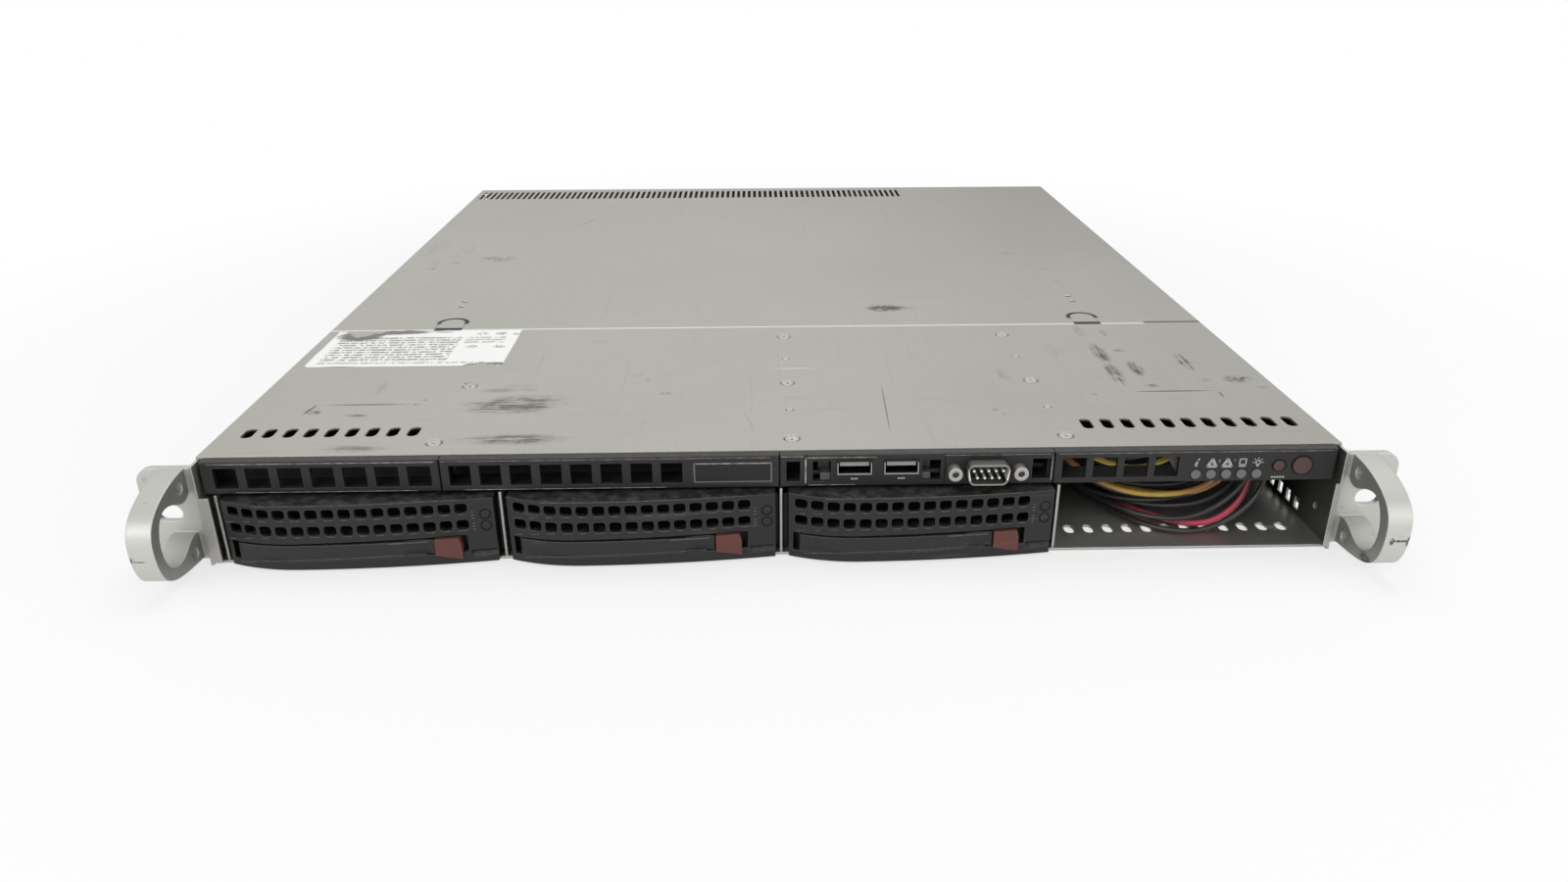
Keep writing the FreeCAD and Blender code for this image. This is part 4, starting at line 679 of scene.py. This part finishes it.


def moulded(name, colour, rough, ledge_share, edge_share=0.6, edge_colour=polish_and_highlight, hole_shade_from=None):
    """Textured plastic; past a given depth its lower part is painted dark, as shade in holes."""
    finish = Finish(name, specular=0.40)
    texture = finish.noise(2200, 2, 0.6)
    clouds = finish.noise(30, 3, 0.6)
    tone = 0.80 + clouds * 0.25 + texture * 0.15
    base = finish.shaded(tone, colour)
    rounded, edge = finish.edges(0.0005)
    # Up-facing ledges are lighter in patches.
    ledge_patches = finish.noise(240, 3, 0.65, shift=0.3).step(0.35, 0.75)
    ledge = finish.facing(2).step(0.4, 0.95) * ledge_patches
    base = finish.mix(ledge * ledge_share, base, (0.15, 0.145, 0.135))
    hair = finish.noise(240, 1, 0.4, stretch=(0.05, 1, 1.6), turn=0.1).step(0.68, 0.74)
    # Lighter edges: partly polish from handling, partly painted highlight.
    base = finish.mix(edge * edge_share + hair * 0.12, base, edge_colour)
    if hole_shade_from:
        # Painted shade inside the holes.
        inside = finish.depth().step(hole_shade_from, hole_shade_from + 0.002)
        inside = inside * (1 - finish.z.step(0.0268, 0.0276))
        base = finish.mix(inside * 0.9, base, (0.0015, 0.0014, 0.0014))
    finish.done(base, rough + clouds * 0.12, texture, 0.00003, 0.35, rounded)


for recipe in (                # name, colour, roughness, ledge lightening, edge polish and painted highlight, hole shade depth
        ("bezel_plastic", (0.0128, 0.0112, 0.0108), 0.48, 0.10, 0.26),
        ("carrier_plastic", (0.0118, 0.0104, 0.0101), 0.44, 0.40, 0.6, polish_and_highlight, 0.0022),
        ("lever_plastic", (0.0148, 0.0132, 0.0130), 0.40, 0.25, 0.8),
        ("maroon_plastic", (0.115, 0.036, 0.029), 0.48, 0.12, 0.6, (0.22, 0.11, 0.09)),
        ("button_plastic", (0.075, 0.040, 0.035), 0.5, 0.10, 0.6, (0.16, 0.11, 0.10)),
        ("plug_plastic", (0.018, 0.018, 0.018), 0.5, 0.3),
        ("fan_plastic", (0.02, 0.02, 0.02), 0.5, 0.6),
        ("latch_plastic", (0.070, 0.069, 0.067), 0.45, 0.3, 0.6, (0.3, 0.3, 0.3))):
    moulded(*recipe)


def badge_gloss():
    low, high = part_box("badge_plate")
    finish = Finish("badge_gloss", specular=0.35)
    haze = finish.noise(40, 3, 0.6)
    specks = finish.noise(900, 2, 0.7).step(0.68, 0.8)
    rims = [1 - (axis - start).step(line, line + 0.0004) * (end - axis).step(line, line + 0.0004)
            for axis, start, end, line in ((finish.x, low.x, high.x, 0.0004),
                                           (finish.z, low.z, high.z, 0.0003))]
    base = finish.mix(specks * 0.3 + haze * 0.1, (0.006, 0.006, 0.0065), (0.04, 0.04, 0.04))
    base = finish.mix(rims[0].either(rims[1]) * 0.7, base, (0.19, 0.185, 0.175))
    finish.done(base, 0.34 + haze * 0.12, haze, 0.00002, 0.1)


badge_gloss()


# %% [markdown]
# ## Small parts' finishes
# Boards, wires, brass posts, drive castings and printed marks need simple recipes: one
# colour or two, broken up by a little noise at the right scale.


# %% Simple finishes
def simple(name, colour, rough, other=None, scale=300, share=0.4, metallic=0.0):
    """One colour, broken up by clouds of another."""
    finish = Finish(name, metallic=metallic)
    cloud = finish.noise(scale, 3, 0.6)
    other = other or tuple(c * 0.6 for c in colour)
    base = finish.mix(cloud.step(0.3, 0.7) * share, colour, other)
    finish.done(base, rough + cloud * 0.1, cloud, 0.00003, 0.3)


def two_part(name, first, second, limit, metallic=0.0):
    """One colour behind a limit, and another in front of it."""
    finish = Finish(name, metallic=metallic)
    cloud = finish.noise(500, 3, 0.6)
    base = finish.mix(cloud * 0.4, first, tuple(c * 1.6 for c in first))
    base = finish.mix(1 - finish.depth().step(*limit), base, second)
    finish.done(base, 0.4 + cloud * 0.1, cloud, 0.00003, 0.3)


drive_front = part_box("hard_drive_1")[0].y - front_datum
for recipe in (
        ("drive_board", (0.022, 0.085, 0.040), (0.015, 0.015, 0.015), (0.1715, 0.1719)),
        ("lamp_board", (0.015, 0.016, 0.015), (0.13, 0.13, 0.125), (0.0128, 0.0129)),
        ("drive_casting", (0.125, 0.125, 0.128), (0.006, 0.006, 0.006),
         (drive_front + 0.0020, drive_front + 0.0024), 0.6)):
    two_part(*recipe)
for recipe in (
        ("board_green", (0.022, 0.085, 0.040), 0.35, (0.03, 0.13, 0.06), 500),
        ("board_black", (0.02, 0.02, 0.022), 0.4, None, 600),
        ("brass_post", (0.62, 0.47, 0.20), 0.3, None, 300, 0.4, 0.9),
        ("fin_aluminium", (0.66, 0.66, 0.66), 0.35, None, 200, 0.4, 0.9),
        # Black for painted shadow in gaps, and a grey for painted highlights.
        ("gap_shadow_black", (0.0012, 0.0011, 0.0010), 0.9),
        ("highlight_grey", (0.115, 0.110, 0.104), 0.45, (0.03, 0.029, 0.028), 900, 0.9),
        ("print_grey", (0.46, 0.46, 0.44), 0.5, None, 900, 0.5),
        ("print_dim", (0.12, 0.12, 0.118), 0.5, None, 900, 0.6),
        ("corner_brown", (0.085, 0.062, 0.055), 0.5, (0.05, 0.045, 0.042), 500),
        # A pale grey for painted highlights along seams and edges.
        ("highlight_rim", (0.44, 0.43, 0.40), 0.45, (0.06, 0.06, 0.06), 330, 0.85),
        ("wire_black", (0.022, 0.021, 0.021), 0.34, (0.04, 0.038, 0.036), 90)):
    simple(*recipe)


def wire_colour(name, middle, ends, x_low, x_high):
    """A wire in its own colour where it bulges forward, and painted darker elsewhere as shade."""
    finish = Finish(name)
    cloud = finish.noise(90, 3, 0.6)
    lit_share = finish.x.step(x_low - 0.012, x_low + 0.006)
    lit_share = lit_share * (1 - finish.x.step(x_high - 0.004, x_high + 0.010))
    base = finish.mix(lit_share * (0.75 + cloud * 0.4), ends, middle)
    finish.done(base, 0.34 + cloud * 0.1, cloud, 0.00003, 0.3)


wire_colour("wire_yellow", (0.50, 0.37, 0.06), (0.22, 0.13, 0.035), 0.118, 0.168)
wire_colour("wire_red", (0.64, 0.075, 0.13), (0.10, 0.025, 0.022), 0.150, 0.184)
wire_colour("wire_orange", (0.52, 0.34, 0.06), (0.33, 0.125, 0.045), 0.138, 0.160)

# %% Dress the frame's pieces
dress = {                    # a finish, and the nodes that wear it
    "tray_steel": "chassis_tray drive_cage rear_panel slot_cover",
    "plate_steel": "front_top_plate",
    "cover_steel": "top_cover release_tab_left release_tab_right",
    "supply_steel": "psu_case",
    "screw_steel": "plate_screws ear_screws",
    "post_steel": "jackscrews",
    "port_steel": "rear_ports",
    "brass_post": "board_standoffs",
    "ear_metal": "ear_left ear_right",
    "bezel_plastic": "optical_bay_blank centre_grille io_bezel control_bezel",
    "badge_gloss": "badge_plate",
    "usb_finish": "usb_sockets",
    "serial_finish": "serial_port",
    "board_black": "io_board memory",
    "board_green": "motherboard",
    "lamp_board": "control_board",
    "drive_board": "backplane",
    "button_plastic": "power_button reset_button",
    "plug_plastic": "wire_plugs ac_inlet",
    "fan_plastic": "fan_frames psu_fan_rotor fan_rotor_1 fan_rotor_2 fan_rotor_3 fan_rotor_4",
    "fin_aluminium": "heatsinks",
    "carrier_plastic": "carrier_1 carrier_2 carrier_3",
    "lever_plastic": "lever_1 lever_2 lever_3",
    "maroon_plastic": "release_1 release_2 release_3",
    "drive_casting": "hard_drive_1 hard_drive_2 hard_drive_3"}
for finish, names in dress.items():
    for name in names.split():
        for slot in nodes[name].material_slots:
            slot.material = finishes[finish]
for name, piece in wire_pieces.items():
    piece.data.materials.append(finishes["wire_" + wires[name][2]])


def floor_finish():
    """White paint that melts into the backdrop away from the server."""
    finish = Finish("floor_paint", specular=0.2)
    tree = finish.tree
    finish.done(finish.mix(finish.noise(2.0, 1), (0.86, 0.86, 0.86), (0.88, 0.88, 0.88)), 0.9)
    light = add_node(tree, "ShaderNodeLightPath").outputs
    seen = finish.node("Math", {0: light["Is Camera Ray"], 1: light["Is Glossy Ray"]},
                       operation="MAXIMUM")
    share = seen * (finish.length(finish.place).step(0.27, 0.62) * 0.34 + 0.66)
    glow = add_node(tree, "ShaderNodeEmission")
    blend = add_node(tree, "ShaderNodeMixShader",
                     {0: share, 1: finish.shader.outputs[0], 2: glow.outputs[0]})
    join(tree, blend.outputs[0], tree.nodes["Material Output"].inputs["Surface"])


floor_finish()
floor_mesh.materials.append(finishes["floor_paint"])

# %% [markdown]
# ## Label
# A paper label sits at the lid's left. Its rear corner is torn and stained. A grid of
# faces lets the torn outline be cut out of it and the paper lift a little at the tear.

# %% Label
label_low, label_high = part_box("label")


def closed(bm):
    """Points every face outwards."""
    bmesh.ops.recalc_face_normals(bm, faces=bm.faces)
    return bm


def label_piece():
    columns, rows = 72, 42
    bm = bmesh.new()
    size_x, size_y = label_high.x - label_low.x, label_high.y - label_low.y
    grid = {}
    for i in range(columns + 1):
        for j in range(rows + 1):
            u, v = i / columns, j / rows
            x = label_low.x + u * size_x
            y = label_low.y + v * size_y
            wave = math.sin(u * 61) + math.sin(u * 23 + 2)
            y -= 0.0012 * wave * max(0.0, v - 0.9) * 5 * (u < 0.6)
            lift = 0.00016 * max(0.0, math.sin(u * 9 + v * 5)) ** 4
            grid[i, j] = bm.verts.new((x, y, label_low.z + 0.00006 + lift))
    for i in range(columns):
        for j in range(rows):
            u, v = (i + 0.5) / columns, (j + 0.5) / rows
            ragged = 0.02 * math.sin(u * 47) + 0.015 * math.sin(u * 101)
            torn_rear = v > 1.03 - 0.24 * max(0.0, 1 - abs(u - 0.14) / 0.13) + ragged
            torn_front = u > 0.80 and v < 0.05 + 0.05 * math.sin(u * 37) + ragged
            corner = (1 - u) * size_x + v * size_y < 0.0022 or u * size_x + v * size_y < 0.002
            if not (torn_rear or torn_front or corner):
                bm.faces.new((grid[i, j], grid[i + 1, j], grid[i + 1, j + 1], grid[i, j + 1]))
    bmesh.ops.delete(bm, geom=[v for v in bm.verts if not v.link_faces], context="VERTS")
    closed(bm)
    bmesh.ops.solidify(bm, geom=bm.faces[:], thickness=0.00008)
    print("label has", len(bm.faces), "faces")
    return add_mesh("paper_label", closed(bm), "chassis", "label_paper")


round_marks = [(-142, -86.8), (-132.5, -86.8), (-124, -87.2), (-143, -106), (-130, -106)]
label_dirt = [     # middle x, y and half size in millimetres, and strength
    (-201, -89, 15, 9.5, 1.4), (-187, -83.5, 26, 5.5, 1.3), (-161, -83.5, 7, 3, 0.5),
    (-127, -130, 9.5, 2.6, 1.2), (-138, -131, 3, 2, 1.0)]


def label_paper():
    """White paper with rows of dashes, a few blank round marks, and dirt at the tear."""
    finish = Finish("label_paper", specular=0.3)
    fibre = finish.noise(1500, 3, 0.6)
    u = (finish.x - label_low.x) / (label_high.x - label_low.x)
    v = (finish.y - label_low.y) / (label_high.y - label_low.y)
    row = finish.node("Math", {0: v * 15.0}, operation="FRACT").step(0.30, 0.50)
    words = finish.noise(420, 3, 0.85, stretch=(1, 0.35, 1)).step(0.40, 0.50)
    left_part = finish.band(u, 0.05, 0.70, 0.01) * finish.band(v, 0.12, 0.82, 0.01)
    right_part = finish.band(u, 0.72, 0.94, 0.01) * finish.band(v, 0.62, 0.80, 0.01)
    foot = finish.band(u, 0.05, 0.86, 0.01) * finish.band(v, 0.07, 0.095, 0.004) * words
    print_share = row * words * (left_part * 0.80 + right_part * 0.65) + foot * 0.8
    rounds = total(finish.patch(x, y, 3.6, 2.4, soft=0.3) * 0.75 for x, y in round_marks)
    rounds = rounds * finish.noise(800, 2, 0.7, shift=0.2).step(0.42, 0.55)
    dirt = total(finish.patch(*mark[:4]) * mark[4] for mark in label_dirt)
    dirt = dirt * (finish.noise(380, 5, 0.75).step(0.22, 0.47) * 0.9 + 0.1)
    base = finish.over((0.90, 0.90, 0.87), (fibre * 0.2, (0.76, 0.76, 0.73)),
                       ((print_share + rounds).step(0.0, 1.1) * 0.95, (0.13, 0.13, 0.125)),
                       (dirt.step(0.0, 1.0) * 0.9, (0.10, 0.095, 0.09)))
    finish.done(base, 0.6, fibre, 0.00005, 0.4)


label_paper()
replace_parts(label_piece(), "label")

# %% [markdown]
# ## Screws
# Twelve countersunk screws hold the fixed lid plate, and six hold the ears. They are
# one head, repeated. A Geometry Nodes tree makes the head once, a disc with a cross
# recess, and puts a copy on every point of a small point mesh.


# %% Screw tree
def new_tree(name, **inputs):
    """A tree that takes points and some values: the tree, its start and the inputs' names."""
    group = bpy.data.node_groups.new(name, "GeometryNodeTree")
    kinds = {"geometry": "Geometry", "turn": "Vector"}
    ids = {}
    for label in ("geometry", *inputs):
        ids[label] = group.interface.new_socket(
            label, in_out="INPUT", socket_type="NodeSocket" + kinds.get(label, "Float"))
    group.interface.new_socket("geometry", in_out="OUTPUT", socket_type="NodeSocketGeometry")
    for label, default in inputs.items():
        ids[label].default_value = default
    ids = {label: socket.identifier for label, socket in ids.items()}
    return group, group.nodes.new("NodeGroupInput").outputs, ids


def part(group, kind, sockets=None, output=0, **settings):
    """Adds a node of a tree and gives one of its outputs."""
    return add_node(group, kind, sockets, **settings).outputs[output]


def geometry(group, kind, sockets=None):
    return part(group, "GeometryNode" + kind, sockets)


def maths(group, operation, *values):
    return part(group, "ShaderNodeMath", dict(enumerate(values)), operation=operation)


def end_tree(group, made, finish):
    """Gives the geometry its finish and closes the tree."""
    made = geometry(group, "SetMaterial", {"Geometry": made, "Material": finishes[finish]})
    add_node(group, "NodeGroupOutput", {0: made})


def baked(name, points, tree, slot, **values):
    """Runs a tree on some points and keeps the result as a plain piece."""
    group, ids = tree
    mesh = bpy.data.meshes.new(name)
    mesh.from_pydata([tuple(point) for point in points], [], [])
    holder = new_object(name + "_points", mesh)
    modifier = holder.modifiers.new("tree", "NODES")
    modifier.node_group = group
    for label, value in values.items():
        modifier[ids[label]] = value
    bpy.context.view_layer.update()
    evaluated = holder.evaluated_get(bpy.context.evaluated_depsgraph_get())
    result = bpy.data.meshes.new_from_object(evaluated)
    bpy.data.objects.remove(holder)
    print(name, "has", len(result.polygons), "faces")
    return add_mesh(name, result, "chassis")


def screw_tree():
    """A head with a cross recess on each point, each turned its own way."""
    group, start, ids = new_tree("screw_heads", radius=0.0026, height=0.0008, turn=(0, 0, 0))
    radius, height = start["radius"], start["height"]
    head = geometry(group, "MeshCylinder", {"Vertices": 28, "Radius": radius, "Depth": height})
    cross = add_node(group, "GeometryNodeMeshBoolean", {"Mesh 1": head}, operation="DIFFERENCE")
    lift = part(group, "ShaderNodeCombineXYZ", {"Z": maths(group, "MULTIPLY", height, 0.5)})
    for wide_x, wide_y in ((1.24, 0.30), (0.30, 1.24)):
        size = part(group, "ShaderNodeCombineXYZ",
                    {"Z": height, "X": maths(group, "MULTIPLY", radius, wide_x),
                     "Y": maths(group, "MULTIPLY", radius, wide_y)})
        bar = geometry(group, "MeshCube", {"Size": size})
        moved = geometry(group, "Transform", {"Geometry": bar, "Translation": lift})
        group.links.new(moved, cross.inputs["Mesh 2"])
    copies = geometry(group, "InstanceOnPoints", {"Points": start["geometry"],
                                                  "Instance": cross.outputs["Mesh"],
                                                  "Rotation": start["turn"]})
    spin = part(group, "FunctionNodeRandomValue", {2: 0.0, 3: 1.5, "Seed": 4}, 1,
                data_type="FLOAT")
    angles = part(group, "ShaderNodeCombineXYZ", {"Z": spin})
    turned = geometry(group, "RotateInstances", {"Instances": copies, "Rotation": angles})
    end_tree(group, geometry(group, "RealizeInstances", {"Geometry": turned}), "screw_steel")
    print("screw tree has", len(group.nodes), "nodes")
    return group, ids


# %% Screw places
head_height = 0.75
head_sink = 0.15             # a head lies this far below the lid
head_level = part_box("front_top_plate")[1].z / mm - head_sink - head_height / 2
long_column = (19.5, 49.0, 80.0, 111.0, 142.5)
columns = [(-132.1, (19.5, 80.0)), (6.6, long_column), (114.1, long_column)]
lid_rows = {"large": [], "small": []}
for column_x, rows in columns:
    for row_y in rows:
        size = "small" if long_column.index(row_y) % 2 else "large"
        lid_rows[size].append(spot(column_x, row_y, head_level))
print("heads on the lid:", {size: len(places) for size, places in lid_rows.items()})

screw_heads = screw_tree()


def lay_screws(name, replaced, places, radius, turn=(0, 0, 0)):
    piece = baked(name, places, screw_heads, "screw_steel", radius=radius * mm,
                  height=head_height * mm, turn=turn)
    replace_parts(piece, replaced)


lay_screws("lid_screws_large", "plate_screws", lid_rows["large"], 2.6)
lay_screws("lid_screws_small", "plate_screws", lid_rows["small"], 1.15)
ear_places = [(16.0, 12.0), (16.0, 31.0), (33.0, 21.5)]
flange_x = 219.9             # the ear flange's outer face, less a hair
for side, label in ((-1, "left"), (1, "right")):
    places = [spot(side * (flange_x - head_height / 2), y, z) for y, z in ear_places]
    lay_screws("ear_screws_" + label, "ear_screws", places, 2.5, (0, side * math.pi / 2, 0))

# %% [markdown]
# ## Wire guard of the supply's fan
# Behind the fan of the power supply sits a guard of round wires. The rings are one curve
# circle, put on four points and made larger by each point's number, then given a round
# section.


# %% Fan guard
def ring_tree():
    """Concentric wires: one ring for each point, wider by one step each time."""
    group, start, ids = new_tree("guard_rings", first=0.004, step=0.004, wire=0.0005)
    circle = geometry(group, "CurvePrimitiveCircle", {"Resolution": 56, "Radius": 1.0})
    wider = maths(group, "MULTIPLY_ADD", geometry(group, "InputIndex"), start["step"],
                  start["first"])
    copies = geometry(group, "InstanceOnPoints",
                      {"Points": start["geometry"], "Instance": circle,
                       "Rotation": (math.pi / 2, 0, 0), "Scale": wider})
    real = geometry(group, "RealizeInstances", {"Geometry": copies})
    section = geometry(group, "CurvePrimitiveCircle", {"Resolution": 10, "Radius": start["wire"]})
    tube = geometry(group, "CurveToMesh", {"Curve": real, "Profile Curve": section})
    end_tree(group, tube, "supply_steel")
    return group, ids


supply_low, supply_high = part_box("psu_case")
rotor_low, rotor_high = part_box("psu_fan_rotor")
fan_middle = (supply_low.x + 0.026, supply_high.y - 0.0004, (rotor_low.z + rotor_high.z) / 2)
baked("fan_guard", [fan_middle] * 4, ring_tree(), "supply_steel",
      first=0.0045, step=0.0042, wire=0.0004)

# %% [markdown]
# ## Small marks on the front
# Pale marks are printed above the five lights: an information mark, two warning
# triangles, a drive and a lamp. Printed ink is a hair thick, so each mark is a set of
# flat strokes that lie on the panel. One function draws a stroke, one draws a ring.

# %% Strokes and rings
ink = 0.06
thin_ink = 0.03


def walls(bm, corners, y_front, y_back):
    """A flat plate with the given (x, z) corners; each y may be a function of x."""
    front, back = ([bm.verts.new(spot(x, y(x) if callable(y) else y, z)) for x, z in corners]
                   for y in (y_front, y_back))
    bm.faces.new(front)
    bm.faces.new(back[::-1])
    for i in range(len(corners)):
        j = (i + 1) % len(corners)
        bm.faces.new((front[i], back[i], back[j], front[j]))


def stroke_on(bm, start, end, width, y, thickness=ink):
    """A flat stroke between two (x, z) points, on a face at y, which may be curved."""
    (x0, z0), (x1, z1) = start, end
    depth_at = y if callable(y) else lambda x: y
    side = Vector((-(z1 - z0), x1 - x0)) * (width / 2 / math.hypot(x1 - x0, z1 - z0))
    corners = [(x0 + side.x, z0 + side.y), (x0 - side.x, z0 - side.y),
               (x1 - side.x, z1 - side.y), (x1 + side.x, z1 + side.y)]
    walls(bm, corners, lambda x: depth_at(x) - thickness, lambda x: depth_at(x) + thickness)


def line_on(bm, points, width, y):
    """Strokes from each point to the next."""
    for start, end in zip(points, points[1:]):
        stroke_on(bm, start, end, width, y)


def ring_on(bm, middle, radius, width, y, steps=24):
    """Short strokes along a circle."""
    angles = [math.radians(360.0 * i / steps) for i in range(steps + 1)]
    line_on(bm, [(middle[0] + radius * math.cos(angle), middle[1] + radius * math.sin(angle))
                 for angle in angles], width, y)


# %% Marks above the lights
face_y = 4.0                 # the mouldings' front face, behind the datum
first_light, light_pitch = 161.2, 5.9
triangle = [(-1.9, 35.8), (1.9, 35.8), (0.0, 39.2), (-1.9, 35.8)]
drive_shape = [(-1.2, 35.8), (1.2, 35.8), (1.2, 38.9), (-1.2, 38.9), (-1.2, 35.8)]
drawn = [                    # the light's number, the line's width, and its points
    (0, 0.75, [(-0.6, 35.9), (0.1, 38.0)]), (0, 0.5, [(0.3, 38.5), (0.7, 39.3)]),
    (0, 0.45, [(-0.9, 36.1), (0.3, 36.1)]), (1, 0.75, triangle), (2, 0.75, triangle),
    (1, 0.3, [(2.5, 37.9), (3.0, 37.9)]), (1, 0.3, [(2.5, 38.5), (3.0, 38.5)]),
    (2, 0.3, [(2.5, 38.5), (3.0, 38.5)]), (3, 0.45, drive_shape),
    (3, 0.45, [(-1.4, 36.5), (1.4, 36.5)]), (4, 0.6, [(-0.4, 36.0), (0.4, 36.0)])]
for angle in range(0, 181, 45):
    x, z = math.cos(math.radians(angle)), math.sin(math.radians(angle))
    drawn.append((4, 0.35, [(1.4 * x, 37.4 + 1.4 * z), (2.1 * x, 37.4 + 2.1 * z)]))
marks = bmesh.new()
for number, width, points in drawn:
    light_x = first_light + light_pitch * number
    line_on(marks, [(light_x + x, z) for x, z in points], width, face_y)
for number, level, radius, width, steps in ((1, 36.9, 0.75, 0.5, 10), (2, 36.9, 0.75, 0.5, 10),
                                            (4, 37.4, 0.85, 0.45, 14)):
    ring_on(marks, (first_light + light_pitch * number, level), radius, width, face_y, steps)
for start_x, level, width, dashes in ((190.7, 31.1, 5.4, 5), (28.4, 32.7, 2.9, 3),
                                      (46.4, 32.7, 2.9, 3)):
    for i in range(dashes):
        x, reach = start_x + width * (i + 0.5) / dashes, width * 0.36 / dashes
        stroke_on(marks, (x - reach, level), (x + reach, level), 0.62, face_y)
print("panel marks have", len(marks.faces), "faces")
add_mesh("panel_marks", closed(marks), "chassis", "print_grey")


# %% Marks beside the carriers' lights, with painted shadows and highlights
def carrier_front(along):
    """How far behind the datum a carrier's face lies, along its bay, in millimetres."""
    span, rise = 74.4, 5.4
    bow_front, bow_middle = -4.0, 30.0
    radius = (span ** 2 + rise ** 2) / (2 * rise)
    return bow_front + radius - math.sqrt(radius ** 2 - (along - bow_middle) ** 2)


bay_left = (-212.0, -104.8, 2.4)
tick_along, light_along, light_levels = 96.6, 101.2, (21.3, 16.4)
hole_first, hole_pitch, hole_count, hole_levels = 7.1, 6.1, 15, (17.3, 24.3)
lower_edge = -2.5            # a hole's lower edge, from its middle


def along_face(bm, left, start, end, width, lift=0.0, steps=1):
    """A stroke that follows a carrier's curved face between two (along, z) points."""
    (x0, z0), (x1, z1) = start, end
    points = [(left + x0 + (x1 - x0) * i / steps, z0 + (z1 - z0) * i / steps)
              for i in range(steps + 1)]
    line_on(bm, points, width, lambda x: carrier_front(x - left) - lift)


for number, left in enumerate(bay_left):
    marks, gap_shadows, lip_highlights, glints = (bmesh.new() for _ in range(4))
    for level in light_levels:
        for rise, reach in ((1.3, 0.4), (0.0, 0.55), (-1.3, 0.45)):
            start, end = (tick_along - reach, level + rise), (tick_along + reach, level + rise)
            along_face(marks, left, start, end, 0.34)
        # Black rings round the lights: painted shadow in their gaps.
        ring_on(gap_shadows, (left + light_along, level), 1.98, 0.62, lambda x: carrier_front(x - left))
    # Pale strokes under the holes and along the top edge: painted highlights on the lips.
    for row, level in enumerate(hole_levels):
        for i in range(hole_count):
            along, edge = hole_first + hole_pitch * i, level + lower_edge
            reach = 1.1 + 0.6 * abs(math.sin(i * 1.7 + row + number * 2.3))
            along_face(lip_highlights, left, (along - reach, edge), (along + reach, edge), 0.26)
    along_face(lip_highlights, left, (16, 28.05), (92, 28.05), 0.24, steps=12)
    # Pale strokes on the lever: painted highlights.
    along_face(glints, left, (8.0, 4.75), (78.0, 6.05), 0.24, lift=0.2, steps=12)
    along_face(glints, left, (64.0, 11.05), (79.0, 11.15), 0.50, lift=0.2, steps=3)
    for name, bm, body, slot, finish in (
            ("carrier_marks_", marks, "drive_tray_", "port_metal", "print_dim"),
            ("light_gap_shadows_", gap_shadows, "drive_tray_", "black_plastic", "gap_shadow_black"),
            ("carrier_lip_highlights_", lip_highlights, "drive_tray_", "black_plastic", "highlight_grey"),
            ("lever_glints_", glints, "lever_arm_", "black_plastic", "highlight_grey")):
        add_mesh(name + str(number + 1), closed(bm), body + str(number + 1), finish)

# %% [markdown]
# ## Latch blocks, the wedge and the lit seams
# Small grey latches show in two of the square windows, and a corner of a folded sheet in
# the last one. The central ports sit in their own frame. Its rim, the mouldings' edges,
# the shelf edge below them and the badge get painted highlights as thin pale strokes.


# %% Blocks
def block(bm, low, high, bevel=0.25):
    """A block with softened edges, between two corners in millimetres."""
    made = bmesh.ops.create_cube(bm, size=1.0)["verts"]
    size = Vector(high) - Vector(low)
    middle = (Vector(low) + Vector(high)) / 2
    for vert in made:
        vert.co = spot(*(vert.co * size + middle))
    edges = list({edge for vert in made for edge in vert.link_edges})
    bmesh.ops.bevel(bm, geom=edges, offset=bevel * mm, segments=2, profile=0.6, affect="EDGES")


latches = bmesh.new()
for low, high in (((16.9, 4.6, 32.0), (20.8, 9.5, 35.0)), ((16.2, 9.7, 32.2), (20.8, 13.0, 37.6)),
                  ((55.8, 4.6, 32.0), (59.0, 9.5, 34.7)), ((55.8, 9.7, 32.2), (59.6, 13.0, 37.6))):
    block(latches, low, high)
add_mesh("latch_blocks", closed(latches), "chassis", "latch_plastic")

wedge = bmesh.new()
walls(wedge, [(149.6, 40.3), (156.0, 40.3), (156.0, 30.4)], 7.2, 7.9)
walls(wedge, [(155.2, 40.3), (156.0, 40.3), (156.0, 30.4), (155.2, 31.2)], 6.3, 7.1)
add_mesh("folded_corner", closed(wedge), "chassis", "corner_brown")

# %% Lit seams
rim_y = 3.97
seams = bmesh.new()
# Painted highlights: thin pale strokes along lit edges and seams.
for x0, z0, x1, z1, width in (
        (11.3, 31.0, 11.3, 41.3, 0.55), (11.6, 41.7, 38.2, 41.7, 0.34),
        (12.4, 30.3, 30.2, 30.3, 0.20), (1.9, 42.2, 10.4, 42.2, 0.32),
        (-213.0, 41.9, -128.6, 41.9, 0.26), (-126.0, 42.0, -2.0, 42.0, 0.12),
        (64.2, 42.0, 104.8, 42.0, 0.14), (107.6, 42.0, 213.6, 42.0, 0.14),
        (-204.0, 30.15, -136.0, 30.15, 0.16), (-118.0, 30.15, -42.0, 30.15, 0.16),
        (105.5, 31.0, 105.5, 41.6, 0.30)):
    stroke_on(seams, (x0, z0), (x1, z1), width, rim_y, thin_ink)
badge_low, badge_high = (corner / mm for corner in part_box("badge_plate"))
badge_line = badge_high.z - 0.35
stroke_on(seams, (badge_low.x + 1.2, badge_line), (badge_high.x - 0.8, badge_line), 0.34,
          badge_low.y - front_datum / mm, thin_ink)
lit_seams = add_mesh("lit_seams", closed(seams), "chassis", "highlight_rim")
print("seams have", len(lit_seams.data.polygons), "faces")
